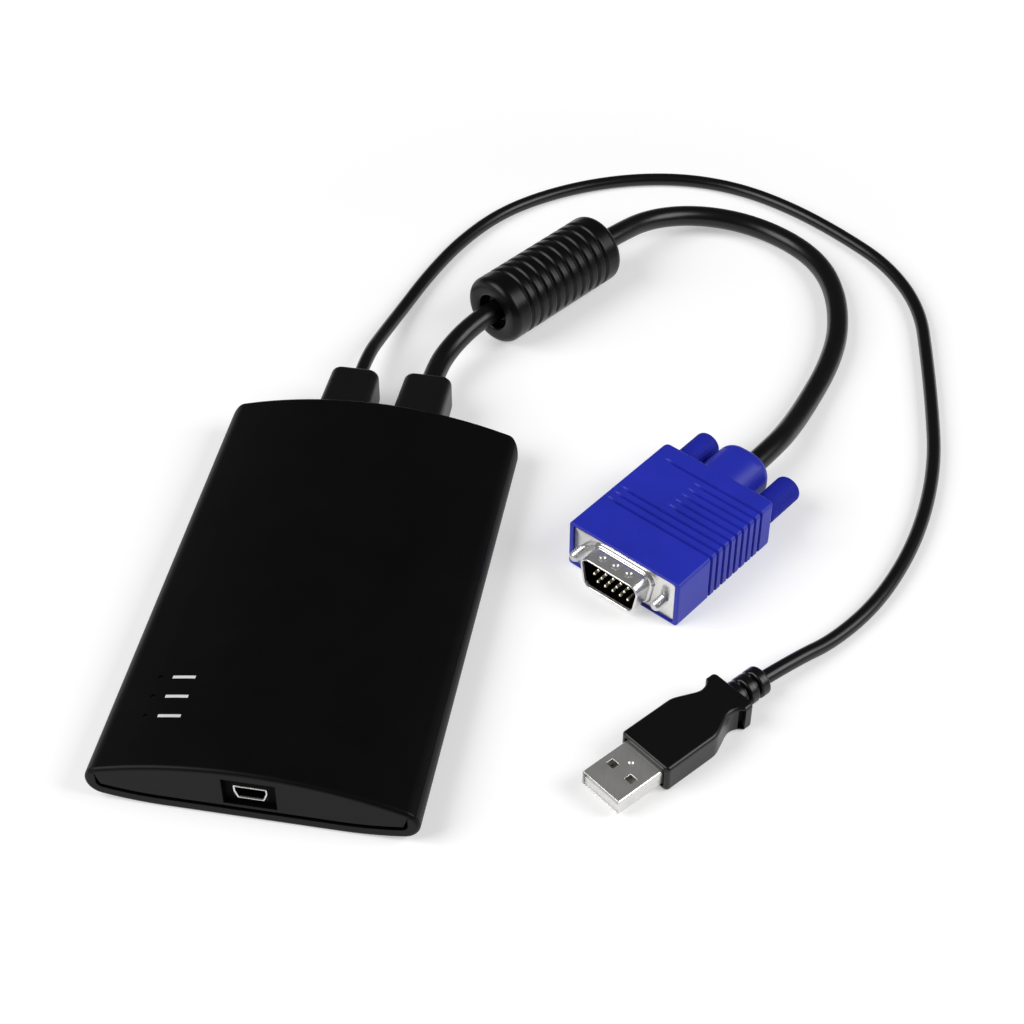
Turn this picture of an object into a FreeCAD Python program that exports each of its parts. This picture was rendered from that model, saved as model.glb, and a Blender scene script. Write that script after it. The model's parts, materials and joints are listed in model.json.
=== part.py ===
import FreeCAD, Part
import math
import os
import re

import Sketcher
from FreeCAD import Placement, Rotation, Vector

# A crash cart adapter: a flat case with an arched top and two captive leads.
# The frame stands under the middle of the case, +Z up, with +Y running from the front panel
# with its socket to the rear panel with the leads. Every size is in millimetres.

SIZES = {
    # Case
    "case_width": 75.5,
    "case_length": 124.0,
    "case_height": 15.3,
    "edge_radius": 4.4,
    "edge_height": 5.6,
    "base_flat": 40.0,
    "rear_corner": 4.5,
    "end_round": 1.0,
    "wall": 2.0,
    "end_wall": 2.4,
    "lip": 2.7,
    "seam_height": 8.4,
    "seam_gap": 1.2,
    "seam_depth": 1.6,
    "fit": 0.1,
    # Screws that close the case
    "boss_inset_x": 14.0,
    "boss_inset_y": 9.0,
    "boss_radius": 2.8,
    "screw_radius": 1.3,
    "screw_length": 7.0,
    "screw_head_radius": 2.3,
    "screw_head_height": 1.1,
    "screw_recess": 0.4,
    # Circuit board and what it carries
    "board_thickness": 1.6,
    "board_side_gap": 4.0,
    "board_front_gap": 0.4,
    "board_rear_gap": 13.0,
    "board_rib_height": 1.6,
    "board_rib_width": 2.0,
    "board_rib_spacing": 26.0,
    "video_chip_side": 20.0,
    "video_chip_height": 1.6,
    "usb_chip_side": 12.0,
    "usb_chip_height": 1.4,
    "memory_chip_width": 10.2,
    "memory_chip_length": 18.4,
    "memory_chip_height": 1.1,
    "crystal_length": 11.0,
    "crystal_width": 4.6,
    "crystal_height": 3.5,
    "capacitor_radius": 2.5,
    "capacitor_pitch": 7.5,
    "usb_header_width": 12.4,
    "vga_header_width": 20.0,
    "header_depth": 5.8,
    "roof_gap": 0.6,
    "header_inset": 6.5,
    # Socket in the front panel
    "socket_width": 7.7,
    "socket_height": 4.0,
    "socket_foot": 5.0,
    "socket_shoulder": 2.0,
    "socket_wall": 0.4,
    "socket_length": 9.2,
    "socket_recess": 1.2,
    "recess_width": 12.2,
    "recess_height": 8.0,
    "recess_lift": 0.8,
    "socket_gap": 0.3,
    "tongue_width": 4.4,
    "tongue_thickness": 1.0,
    "tongue_back": 2.6,
    "tongue_setback": 1.4,
    "contact_width": 0.4,
    "contact_thickness": 0.15,
    "contact_pitch": 0.8,
    # Status lamps and their light pipes
    "led_from_edge": 10.2,
    "led_from_front": 15.0,
    "led_pitch": 5.8,
    "led_width": 1.6,
    "led_height": 0.8,
    "pipe_radius": 0.6,
    "pipe_sink": 0.35,
    # Strain reliefs at the rear
    "usb_boot_x": -8.8,
    "vga_boot_x": 10.5,
    "boot_axis_height": 7.2,
    "boot_length": 15.5,
    "boot_base_width": 13.2,
    "boot_base_height": 12.2,
    "boot_tip_width": 12.4,
    "boot_tip_height": 11.0,
    "boot_corner": 2.3,
    "boot_tip_round": 0.8,
    "neck_width": 9.0,
    "neck_height": 7.0,
    "neck_flange": 1.2,
    "neck_flange_depth": 2.0,
    # Leads
    "usb_cable_radius": 1.8,
    "vga_cable_radius": 2.9,
    "usb_wire_radius": 0.5,
    "vga_wire_radius": 0.6,
    "usb_run_out": 11.0,
    "usb_run_in": 11.0,
    "vga_run_out": 9.3,
    "vga_run_in": 11.8,
    "wire_pitch": 1.6,
    # Bead on the thick lead
    "bead_radius": 9.75,
    "bead_length": 42.3,
    "bead_round": 2.2,
    "bead_collar": 5.4,
    "bead_rings": 10,
    "bead_groove_width": 1.3,
    "bead_groove_depth": 0.7,
    "bead_skin": 2.0,
    "bead_end": 3.5,
    # Video plug, in its own frame: origin on the table under the middle of the flange, +Y to the lead
    "hood_width": 33.5,
    "hood_thickness": 13.9,
    "hood_length": 36.7,
    "hood_rim": 0.4,
    "hood_corner": 1.6,
    "hood_edge": 0.6,
    "groove_first": 11.9,
    "groove_pitch": 2.5,
    "groove_count": 9,
    "groove_width": 0.7,
    "groove_depth": 0.5,
    "patch_inset": 1.2,
    "patch_right": -1.4,
    "patch_start": 17.7,
    "patch_length": 13.1,
    "neck_radius": 6.9,
    "neck_length": 12.8,
    "neck_round": 2.0,
    "flange_width": 30.81,
    "flange_height": 12.5,
    "flange_thickness": 1.0,
    "shroud_width": 18.2,
    "shroud_height": 9.3,
    "shroud_corner": 1.7,
    "shroud_wall": 0.5,
    "shroud_depth": 6.0,
    "shroud_step": 0.7,
    "shroud_step_depth": 0.9,
    "dimple_radius": 1.0,
    "dimple_depth": 0.25,
    "dimple_pitch": 4.0,
    "insulator_face": 0.3,
    "insulator_length": 8.0,
    "pin_radius": 0.38,
    "pin_pitch": 2.29,
    "pin_row_pitch": 1.98,
    "pin_reach": 5.0,
    "pin_tail": 1.5,
    "jack_spacing": 25.0,
    "jack_radius": 1.42,
    "jack_reach": 4.3,
    "jack_tip": 0.5,
    "jack_neck": 0.5,
    "shank_radius": 1.2,
    "jack_clearance": 0.3,
    "knob_radius": 3.5,
    "knob_length": 14.0,
    "knob_round": 1.6,
    "knob_gap": 0.2,
    "knob_grip": 9.0,
    "knob_fit": 0.02,
    # USB plug, in its own frame: origin on the table under the metal mouth, +Y to the lead
    "plug_width": 12.0,
    "plug_height": 4.5,
    "plug_wall": 0.32,
    "plug_corner": 0.5,
    "plug_reach": 13.2,
    "plug_seat": 5.55,
    "window_side": 2.3,
    "window_setback": 5.2,
    "window_spacing": 5.8,
    "tray_height": 1.9,
    "tray_setback": 0.6,
    "tray_length": 11.5,
    "strip_width": 1.0,
    "strip_thickness": 0.15,
    "strip_length": 7.5,
    "strip_inner": 2.0,
    "strip_outer": 7.0,
    "grip_width": 15.0,
    "grip_thickness": 7.7,
    "grip_corner": 1.3,
    "grip_straight": 14.6,
    "grip_knee": 0.9,
    "grip_taper": 7.9,
    "grip_waist": 9.5,
    "wing_width": 12.9,
    "wing_flare": 3.2,
    "wing_length": 2.6,
    "slot_width": 1.2,
    "slot_depth": 1.6,
    "slot_height": 5.9,
    "grip_bevel": 1.0,
    "relief_radius": 3.7,
    "relief_length": 9.0,
    "relief_rings": 3,
    "relief_groove": 0.9,
    "relief_groove_depth": 0.9,
}

# Sizes that follow from the ones above.
DERIVED = {
    "side_x": "case_width/2 - edge_radius",
    "rise": "case_height - edge_height",
    "crown": "(side_x^2 + rise^2 - edge_radius^2) / (2*(rise - edge_radius))",
    "crown_z": "case_height - crown",
    "reach": "side_x - base_flat/2",
    "belly": "(reach^2 + edge_height^2 - edge_radius^2) / (2*(edge_height - edge_radius))",
    "front": "-case_length/2",
    "rear": "case_length/2",
    "boss_x": "case_width/2 - boss_inset_x",
    "boss_y": "case_length/2 - boss_inset_y",
    "board_bottom": "lip + board_rib_height",
    "board_top": "board_bottom + board_thickness",
    "board_width": "case_width - 2*(lip + board_side_gap)",
    "board_front": "front + end_wall + board_front_gap",
    "board_length": "case_length - 2*end_wall - board_front_gap - board_rear_gap",
    "board_rear": "board_front + board_length",
    "header_y": "board_rear - header_inset",
    "socket_front": "front + socket_recess",
    "socket_z": "board_top + socket_height/2",
    "led_x": "led_from_edge - case_width/2",
    "led_y": "front + led_from_front",
    "led_top": "board_top + led_height",
    "pipe_top": "crown_z + sqrt(crown^2 - (abs(led_x) + pipe_radius)^2) - pipe_sink",
    "hood_mid": "hood_thickness/2",
    "boot_end": "rear + boot_length",
    "neck_top": "boot_axis_height + neck_height/2",
    "flange_start": "rear - end_wall - neck_flange_depth",
    "neck_end": "hood_length + neck_length",
    "jack_x": "jack_spacing/2",
    "knob_start": "hood_length + knob_gap",
    "plug_mid": "grip_thickness/2",
    "grip_start": "plug_reach",
    "grip_shoulder": "grip_start + grip_straight",
    "grip_neck": "grip_shoulder + grip_taper",
    "wing_tip": "grip_neck + wing_flare",
    "grip_end": "wing_tip + wing_length",
    "relief_end": "grip_end + relief_length",
}

WORD = re.compile(r"[a-z_]{3,}")
SLANT = math.radians(10)
UPRIGHT = Rotation(Vector(1, 0, 0), 90)
ALONG_Y = Rotation(Vector(1, 0, 0), -90)

doc = FreeCAD.newDocument("crash_cart_adapter")
sheet = doc.addObject("Spreadsheet::Sheet", "dims")
for row, (alias, number) in enumerate(SIZES.items(), 1):
    sheet.set(f"A{row}", alias)
    sheet.set(f"B{row}", str(number))
    sheet.setAlias(f"B{row}", alias)
doc.recompute()
nodes = []


def expand(text):
    """Write the derived sizes in an expression out in terms of the driving ones."""
    def full(word):
        name = word.group()
        return f"({expand(DERIVED[name])})" if name in DERIVED else name
    return WORD.sub(full, text)


def bound(text):
    """The expression as a feature takes it, with each driving size read from the sheet."""
    def cell(word):
        name = word.group()
        return f"dims.{name}" if name in SIZES else name
    return WORD.sub(cell, expand(text))


def value(text):
    """What an expression comes to."""
    return float(sheet.evalExpression(expand(text)))


def bind(feature, **texts):
    """Tie properties of a feature to expressions."""
    for name, text in texts.items():
        feature.setExpression(name, bound(text))


def move(feature, x, y, z):
    """Tie the place of a feature to three expressions."""
    for axis, text in zip("xyz", (x, y, z)):
        feature.setExpression(f"Placement.Base.{axis}", bound(text))


def keep(feature, label, pose=None):
    """Name a finished sub-part, and set it where it lies."""
    feature.Label = label
    if pose is not None:
        feature.Placement = pose
    nodes.append(feature)
    return feature


# Outlines: a corner is (x, y), or (x, y, cx, cy) where the side that leaves it is an arc about (cx, cy).


def fix(sketch, geometry, point, x, y):
    """Hold a point of a sketch at two expressions."""
    for kind, text in (("DistanceX", x), ("DistanceY", y)):
        rule = Sketcher.Constraint(kind, -1, 1, geometry, point, value(text))
        sketch.setExpression(f"Constraints[{sketch.addConstraint(rule)}]", bound(text))


def fix_radius(sketch, geometry, text):
    """Hold a circle or an arc at a radius."""
    rule = Sketcher.Constraint("Radius", geometry, value(text))
    sketch.setExpression(f"Constraints[{sketch.addConstraint(rule)}]", bound(text))


def draw_circle(sketch, x, y, radius):
    """A circle held by its centre and radius."""
    centre = Vector(value(x), value(y), 0)
    geometry = sketch.addGeometry(Part.Circle(centre, Vector(0, 0, 1), value(radius)))
    fix(sketch, geometry, 3, x, y)
    fix_radius(sketch, geometry, radius)


def draw_outline(sketch, corners):
    """A closed outline whose every corner is held at its two expressions."""
    points = [Vector(value(corner[0]), value(corner[1]), 0) for corner in corners]
    sides = []
    for corner, start, end in zip(corners, points, points[1:] + points[:1]):
        if len(corner) == 4:
            centre = Vector(value(corner[2]), value(corner[3]), 0)
            spoke = (start - centre).normalize() + (end - centre).normalize()
            middle = centre + spoke.normalize() * start.distanceToPoint(centre)
            sides.append(sketch.addGeometry(Part.Arc(start, middle, end)))
            radius = "sqrt(({0} - ({2}))^2 + ({1} - ({3}))^2)".format(*corner)
            fix_radius(sketch, sides[-1], radius)
        else:
            sides.append(sketch.addGeometry(Part.LineSegment(start, end)))
    for index, (side, corner) in enumerate(zip(sides, corners)):
        ends = []
        for geometry in (sides[index - 1], side):
            first = sketch.getPoint(geometry, 1).distanceToPoint(points[index])
            second = sketch.getPoint(geometry, 2).distanceToPoint(points[index])
            ends.append((geometry, 1 if first < second else 2))
        sketch.addConstraint(Sketcher.Constraint("Coincident", *ends[0], *ends[1]))
        fix(sketch, *ends[1], corner[0], corner[1])


def draw(sketch, loops):
    """Draw each loop, an outline or a ("circle", x, y, radius)."""
    for loop in loops:
        if loop[0] == "circle":
            draw_circle(sketch, *loop[1:])
        else:
            draw_outline(sketch, loop)


def rectangle(width, height, x="0", y="0"):
    """A rectangle about (x, y)."""
    left, right = f"{x} - ({width})/2", f"{x} + ({width})/2"
    low, high = f"{y} - ({height})/2", f"{y} + ({height})/2"
    return [(left, low), (right, low), (right, high), (left, high)]


def hip(inset):
    """Where the belly of the case's section, set in, runs into its round edge."""
    share = f"((belly - ({inset})) / (belly - edge_radius))"
    return f"(base_flat/2 + reach * {share})", f"(belly + (edge_height - belly) * {share})"


def lens(inset):
    """The case's section, set in all round: a crowned top, round edges, and a belly with a flat."""
    crown_share = f"((crown - ({inset})) / (crown - edge_radius))"
    shoulder_x = f"(side_x * {crown_share})"
    shoulder_z = f"(crown_z + (edge_height - crown_z) * {crown_share})"
    hip_x, hip_z = hip(inset)
    return [
        ("-base_flat/2", inset),
        ("base_flat/2", inset, "base_flat/2", "belly"),
        (hip_x, hip_z, "side_x", "edge_height"),
        (shoulder_x, shoulder_z, "0", "crown_z"),
        (f"-{shoulder_x}", shoulder_z, "-side_x", "edge_height"),
        (f"-{hip_x}", hip_z, "-base_flat/2", "belly"),
    ]


def tub(inset):
    """The lower half of that section, set in, and carried straight up from where it is widest."""
    hip_x, hip_z = hip(inset)
    side, top = f"(side_x + edge_radius - ({inset}))", "case_height + 1"
    return [
        ("-base_flat/2", inset),
        ("base_flat/2", inset, "base_flat/2", "belly"),
        (hip_x, hip_z, "side_x", "edge_height"),
        (side, "edge_height"),
        (side, top),
        (f"-{side}", top),
        (f"-{side}", "edge_height", "-side_x", "edge_height"),
        (f"-{hip_x}", hip_z, "-base_flat/2", "belly"),
    ]


def dee(width, height, radius, z):
    """The D of a video plug about height z: its wide side up, its flanks slanted, its corners round."""
    top, low = f"({width})/2", f"(({width})/2 - ({height}) * {math.tan(SLANT)})"
    wide = f"({radius} * {1 / math.tan(math.radians(40))})"
    close = f"({radius} * {1 / math.tan(math.radians(50))})"
    floor, roof = f"({z} - ({height})/2)", f"({z} + ({height})/2)"
    low_x, top_x = f"({low} - {close})", f"({top} - {wide})"
    flank_low = f"({low} + {close} * {math.sin(SLANT)})"
    flank_top = f"({top} - {wide} * {math.sin(SLANT)})"
    flank_low_z = f"({floor} + {close} * {math.cos(SLANT)})"
    flank_top_z = f"({roof} - {wide} * {math.cos(SLANT)})"
    return [
        (f"-{low_x}", floor),
        (low_x, floor, low_x, f"{floor} + {radius}"),
        (flank_low, flank_low_z),
        (flank_top, flank_top_z, top_x, f"{roof} - {radius}"),
        (top_x, roof),
        (f"-{top_x}", roof, f"-{top_x}", f"{roof} - {radius}"),
        (f"-{flank_top}", flank_top_z),
        (f"-{flank_low}", flank_low_z, f"-{low_x}", f"{floor} + {radius}"),
    ]


# Features of a moulded, turned or folded piece, each in a body of its own.


def new_body(name):
    """An empty body."""
    return doc.addObject("PartDesign::Body", name)


def origin_of(body, role):
    """One of a body's own planes or axes."""
    return next(item for item in body.Origin.OriginFeatures if item.Role == role)


def sketch_on(body, role, name, loops, lift="0"):
    """Loops drawn on a plane of the body, lifted along the plane's normal."""
    sketch = body.newObject("Sketcher::SketchObject", name)
    sketch.AttachmentSupport = (origin_of(body, role), [""])
    sketch.MapMode = "FlatFace"
    sketch.setExpression("AttachmentOffset.Base.z", bound(lift))
    draw(sketch, loops)
    return sketch


def pad_y(body, name, loops, start, depth):
    """Material from y = start towards +Y."""
    pad = body.newObject("PartDesign::Pad", name)
    pad.Profile = sketch_on(body, "XZ_Plane", f"{name}_outline", loops, f"-({start})")
    pad.Reversed = True
    bind(pad, Length=depth)
    return pad


def pocket_y(body, name, loops, start, depth):
    """A cut from y = start towards +Y."""
    pocket = body.newObject("PartDesign::Pocket", name)
    pocket.Profile = sketch_on(body, "XZ_Plane", f"{name}_outline", loops, f"-({start})")
    bind(pocket, Length=depth)
    return pocket


def pad_z(body, name, loops, start, depth):
    """Material from z = start upwards."""
    pad = body.newObject("PartDesign::Pad", name)
    pad.Profile = sketch_on(body, "XY_Plane", f"{name}_outline", loops, start)
    bind(pad, Length=depth)
    return pad


def pocket_z(body, name, loops, start, depth):
    """A cut from z = start downwards."""
    pocket = body.newObject("PartDesign::Pocket", name)
    pocket.Profile = sketch_on(body, "XY_Plane", f"{name}_outline", loops, start)
    bind(pocket, Length=depth)
    return pocket


def pocket_x(body, name, loops, start, depth):
    """A cut of an outline in Y and Z, from x = start towards -X."""
    pocket = body.newObject("PartDesign::Pocket", name)
    pocket.Profile = sketch_on(body, "YZ_Plane", f"{name}_outline", loops, start)
    bind(pocket, Length=depth)
    return pocket


def turned(body, name, loops, axis_height, axis_x="0", cut=False):
    """A profile of (radius, y) turned about a line along Y."""
    feature = body.newObject("PartDesign::Groove" if cut else "PartDesign::Revolution", name)
    feature.Profile = sketch_on(body, "XY_Plane", f"{name}_profile", loops, axis_height)
    feature.Profile[0].setExpression("AttachmentOffset.Base.x", bound(axis_x))
    feature.ReferenceAxis = (feature.Profile[0], ["V_Axis"])
    feature.Angle = 360
    return feature


def row_y(body, name, original, pitch, count):
    """Repeat a feature along Y."""
    pattern = body.newObject("PartDesign::LinearPattern", name)
    pattern.Originals = [original]
    pattern.Direction = (origin_of(body, "Y_Axis"), [""])
    bind(pattern, Length=f"({pitch}) * ({count} - 1)", Occurrences=count)
    body.Tip = pattern
    return pattern


def soften(body, name, kind, chosen, **sizes):
    """A fillet or chamfer on the edges of the body's last feature that a test chooses."""
    doc.recompute()
    tip = body.Tip
    edges = [f"Edge{index}" for index, edge in enumerate(tip.Shape.Edges, 1) if chosen(edge)]
    feature = body.newObject(f"PartDesign::{kind}", name)
    feature.Base = (tip, edges)
    bind(feature, **sizes)
    return feature


def lies_at(edge, text, axis):
    """Whether an edge lies in the plane across an axis (0, 1 or 2) at a place along it."""
    place = value(text)
    return all(abs(vertex.Point[axis] - place) < 1e-4 for vertex in edge.Vertexes)


# Plain blocks, rods and prisms, and what is made of them.


def block(name, length, width, height, x, y, z):
    """A block that stands on z, about (x, y)."""
    box = doc.addObject("Part::Box", name)
    bind(box, Length=length, Width=width, Height=height)
    move(box, f"{x} - ({length})/2", f"{y} - ({width})/2", z)
    return box


def rod(name, radius, height, x, y, z):
    """An upright rod that stands on z."""
    cylinder = doc.addObject("Part::Cylinder", name)
    bind(cylinder, Radius=radius, Height=height)
    move(cylinder, x, y, z)
    return cylinder


def rod_y(name, radius, length, x, y, z):
    """A rod that lies along +Y from y."""
    cylinder = rod(name, radius, length, x, y, z)
    cylinder.Placement = Placement(cylinder.Placement.Base, ALONG_Y)
    return cylinder


def prism_y(name, loops, start, depth):
    """An outline in X and Z carried along +Y."""
    sketch = doc.addObject("Sketcher::SketchObject", f"{name}_outline")
    draw(sketch, loops)
    sketch.Placement = Placement(Vector(0, 0, 0), UPRIGHT)
    sketch.setExpression("Placement.Base.y", bound(start))
    extrusion = doc.addObject("Part::Extrusion", name)
    extrusion.Base = sketch
    extrusion.DirMode = "Custom"
    extrusion.Dir = Vector(0, 1, 0)
    extrusion.Solid = True
    bind(extrusion, LengthFwd=depth)
    return extrusion


def joined(name, features):
    """Features made one."""
    fusion = doc.addObject("Part::MultiFuse", name)
    fusion.Shapes = features
    fusion.Refine = True
    return fusion


def shared(name, features):
    """What features have in common."""
    common = doc.addObject("Part::MultiCommon", name)
    common.Shapes = features
    return common


def without(name, base, tool):
    """A feature less another."""
    cut = doc.addObject("Part::Cut", name)
    cut.Base = base
    cut.Tool = tool
    cut.Refine = True
    return cut


def group(name, features):
    """Separate like solids that share a node."""
    compound = doc.addObject("Part::Compound", name)
    compound.Links = features
    return compound


def make_case_form():
    """The outside of the closed case: its section carried along its length, its ends rounded."""
    form = new_body("case_form")
    pad_y(form, "case_length_pad", [lens("0")], "front", "case_length")
    soften(form, "end_rounds", "Fillet",
           lambda edge: lies_at(edge, "front", 1) or lies_at(edge, "rear", 1), Radius="end_round")
    doc.recompute()
    plan = new_body("case_plan")
    left, right = "-case_width/2 - 1", "case_width/2 + 1"
    plan_left, plan_right = "-case_width/2 + rear_corner", "case_width/2 - rear_corner"
    corner_y = "rear - rear_corner"
    outline = [
        (left, "front - 1"),
        (right, "front - 1"),
        (right, corner_y),
        ("case_width/2", corner_y, plan_right, corner_y),
        (plan_right, "rear"),
        (plan_left, "rear", plan_left, corner_y),
        ("-case_width/2", corner_y),
        (left, corner_y),
    ]
    pad_z(plan, "case_plan_pad", [outline], "-1", "case_height + 2")
    return shared("case_outside", [form, plan])


def below(name, height, start="front - 1", depth="case_length + 2"):
    """All that lies under a height, along a stretch of the case."""
    return block(name, "case_width + 2", depth, f"{height} + 1", "0", f"{start} + ({depth})/2", "-1")


def boss_places():
    """Where the four screws stand."""
    return [(x, y) for x in ("-boss_x", "boss_x") for y in ("-boss_y", "boss_y")]


def led_places():
    """How far along the case the three lamps stand."""
    return [f"led_y + {index}*led_pitch" for index in range(3)]


def headroom(reach):
    """How tall a piece on the board may be under the roof, going by how far it reaches from the middle."""
    return f"crown_z + sqrt((crown - wall)^2 - ({reach})^2) - roof_gap - board_top"


def socket_outline(grow):
    """The socket's mouth, grown or set in: a flat roof, upright cheeks and slanted lower corners."""
    half, foot = f"(socket_width/2 + ({grow}))", f"(socket_foot/2 + ({grow}))"
    low, high = f"(board_top - ({grow}))", f"(board_top + socket_height + ({grow}))"
    cheek = "(board_top + socket_height - socket_shoulder)"
    return [
        (f"-{foot}", low), (foot, low), (half, cheek),
        (half, high), (f"-{half}", high), (f"-{half}", cheek),
    ]


def make_lower_shell(outside):
    """A tray: the case's outside up to the seam, hollow from end to end, with ribs and screw seats."""
    tray = shared("tray_outside", [outside, below("under_seam", "seam_height")])
    hollow = prism_y("tray_hollow", [tub("lip")], "front - 1", "case_length + 2")
    ribs = [
        block(
            f"board_rib_{side}",
            "board_rib_width",
            "board_length - 4*boss_inset_y",
            "lip/2 + board_rib_height",
            f"{sign}board_rib_spacing/2",
            "board_front + board_length/2",
            "lip/2",
        )
        for side, sign in (("left", "-"), ("right", ""))
    ]
    seats = []
    for index, (x, y) in enumerate(boss_places()):
        seats.append(rod(f"screw_way_{index}", "screw_radius + fit", "lip + 2", x, y, "-1"))
        depth = "screw_recess + screw_head_height + 1"
        seats.append(rod(f"screw_seat_{index}", "screw_head_radius + fit", depth, x, y, "-1"))
    walls = joined("tray_walls", [without("tray_shell", tray, hollow)] + ribs)
    keep(without("tray", walls, joined("screw_seats", seats)), "lower_shell")


def make_upper_shell(outside):
    """The arched top with its front and rear panels, which drop into the tray behind a shadow gap."""
    inside = prism_y("top_hollow", [lens("wall")], "front + end_wall", "case_length - 2*end_wall")
    bosses = [
        rod(f"boss_{index}", "boss_radius", "case_height", x, y, "lip")
        for index, (x, y) in enumerate(boss_places())
    ]
    roof = prism_y("boss_roof", [lens("wall/2")], "front + 1", "case_length - 2")
    standing = shared("bosses", [joined("boss_rods", bosses), roof])
    solid = joined("top_and_bosses", [without("top_walls", outside, inside), standing])

    skirt = without(
        "skirt_cut",
        below("under_top", "seam_height + fit"),
        prism_y("panel_core", [tub("lip + fit")], "front - 1", "case_length + 2"),
    )
    shadow = without(
        "shadow_cut",
        below("under_shadow", "seam_height + fit", depth="seam_depth + 1"),
        prism_y("shadow_core", [tub("min(lip + seam_gap; 0.95*edge_radius)")],
                "front - 2", "seam_depth + 4"),
    )
    recess = block(
        "recess", "recess_width", "socket_recess + 1", "recess_height",
        "0", "socket_front - (socket_recess + 1)/2", "socket_z + recess_lift - recess_height/2",
    )
    socket_way = prism_y("socket_way", [socket_outline("socket_gap")], "front", "end_wall + 1")
    notches = [
        block(f"{lead}_notch", "neck_width + 2*fit", "end_wall + 2", "neck_top + fit",
              f"{lead}_boot_x", "rear - end_wall/2", "0")
        for lead in ("usb", "vga")
    ]
    pipe_ways = [
        rod(f"pipe_way_{index}", "pipe_radius + fit/2", "case_height", "led_x", y, "board_top")
        for index, y in enumerate(led_places())
    ]
    pilots = [
        rod(f"pilot_{index}", "screw_radius + fit/5", "screw_length", x, y, "lip - 1")
        for index, (x, y) in enumerate(boss_places())
    ]
    cuts = [skirt, shadow, recess, socket_way] + notches + pipe_ways + pilots
    keep(without("top", solid, joined("top_cuts", cuts)), "upper_shell")


def make_case_screws():
    """Four pan-headed screws that come up through the tray into the bosses."""
    screws = []
    for index, (x, y) in enumerate(boss_places()):
        head = rod(f"head_{index}", "screw_head_radius", "screw_head_height", x, y, "screw_recess")
        shank = rod(f"shank_{index}", "screw_radius", "screw_length", x, y, "screw_recess")
        screws.append(joined(f"case_screw_{index}", [head, shank]))
    keep(group("screw_set", screws), "case_screws")


def make_board():
    """The circuit board, which lies on the tray's ribs and lets the front bosses through."""
    board = new_body("board")
    middle = "board_front + board_length/2"
    pad_z(board, "board_pad", [rectangle("board_width", "board_length", "0", middle)],
          "board_bottom", "board_thickness")
    holes = [("circle", x, "-boss_y", "boss_radius + 4*fit") for x in ("-boss_x", "boss_x")]
    pocket_z(board, "boss_holes", holes, "board_top", "board_thickness")
    keep(board, "circuit_board")


def make_board_pieces():
    """What is soldered on the board: chips, a crystal, lead connectors, capacitors and lamps."""
    blocks = (
        ("video_chip", "video_chip_side", "video_chip_side", "8", "board_front + 0.51*board_length"),
        ("usb_chip", "usb_chip_side", "usb_chip_side", "-12", "board_front + 0.35*board_length"),
        ("memory_chip", "memory_chip_width", "memory_chip_length", "12", "board_front + 0.76*board_length"),
        ("crystal", "crystal_length", "crystal_width", "-12", "board_front + 0.52*board_length"),
        ("usb_header", "usb_header_width", "header_depth", "usb_boot_x", "header_y"),
        ("vga_header", "vga_header_width", "header_depth", "vga_boot_x", "header_y"),
    )
    for name, length, width, x, y in blocks:
        height = headroom("vga_boot_x + vga_header_width/2") if "header" in name else f"{name}_height"
        body = new_body(f"{name}_body")
        pad_z(body, f"{name}_pad", [rectangle(length, width, x, y)], "board_top", height)
        keep(body, "clock_crystal" if name == "crystal" else name)
    cans = [
        rod(f"can_{index}", "capacitor_radius", headroom("2*capacitor_pitch + 4 + capacitor_radius"),
            f"{index - 2}*capacitor_pitch - 4", "board_front + 0.74*board_length", "board_top")
        for index in range(3)
    ]
    keep(group("cans", cans), "capacitors")
    lamps = [
        block(f"lamp_{index}", "led_width", "led_width", "led_height", "led_x", y, "board_top")
        for index, y in enumerate(led_places())
    ]
    keep(group("lamps", lamps), "status_leds")
    pipes = [
        rod(f"pipe_{index}", "pipe_radius", "pipe_top - led_top", "led_x", y, "led_top")
        for index, y in enumerate(led_places())
    ]
    keep(group("pipes", pipes), "light_pipes")


def make_socket():
    """The small USB socket on the board's front edge: a folded shell, a tongue and five contacts."""
    shell = new_body("socket_shell")
    pad_y(shell, "socket_pad", [socket_outline("0"), socket_outline("-socket_wall")],
          "socket_front", "socket_length")
    keep(shell, "mini_usb_shell")

    tongue = new_body("socket_block")
    end = "socket_front + socket_length"
    tongue_z = "board_top + socket_height/2 + tongue_thickness/2"
    pad_y(tongue, "block_pad", [socket_outline("-socket_wall - fit/2")],
          f"{end} - tongue_back", "tongue_back")
    pad_y(tongue, "tongue_pad", [rectangle("tongue_width", "tongue_thickness", "0", tongue_z)],
          "socket_front + tongue_setback", "socket_length - tongue_setback - tongue_back/2")
    contacts = []
    for index in range(5):
        x = f"{index - 2}*contact_pitch"
        z = "board_top + socket_height/2"
        strip_length = "socket_length - 2*tongue_setback + 1"
        strip = block(f"strip_{index}", "contact_width", strip_length, "contact_thickness",
                      x, f"{end} + 1 - ({strip_length})/2", z)
        leg = block(f"leg_{index}", "contact_width", "contact_width", "socket_height/2 + contact_thickness",
                    x, f"{end} + 1 - contact_width/2", "board_top")
        contacts.append(joined(f"contact_{index}", [strip, leg]))
    strips = group("socket_contacts", contacts)
    keep(without("socket_tongue", tongue, strips), "mini_usb_tongue")
    keep(strips, "mini_usb_contacts")


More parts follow.
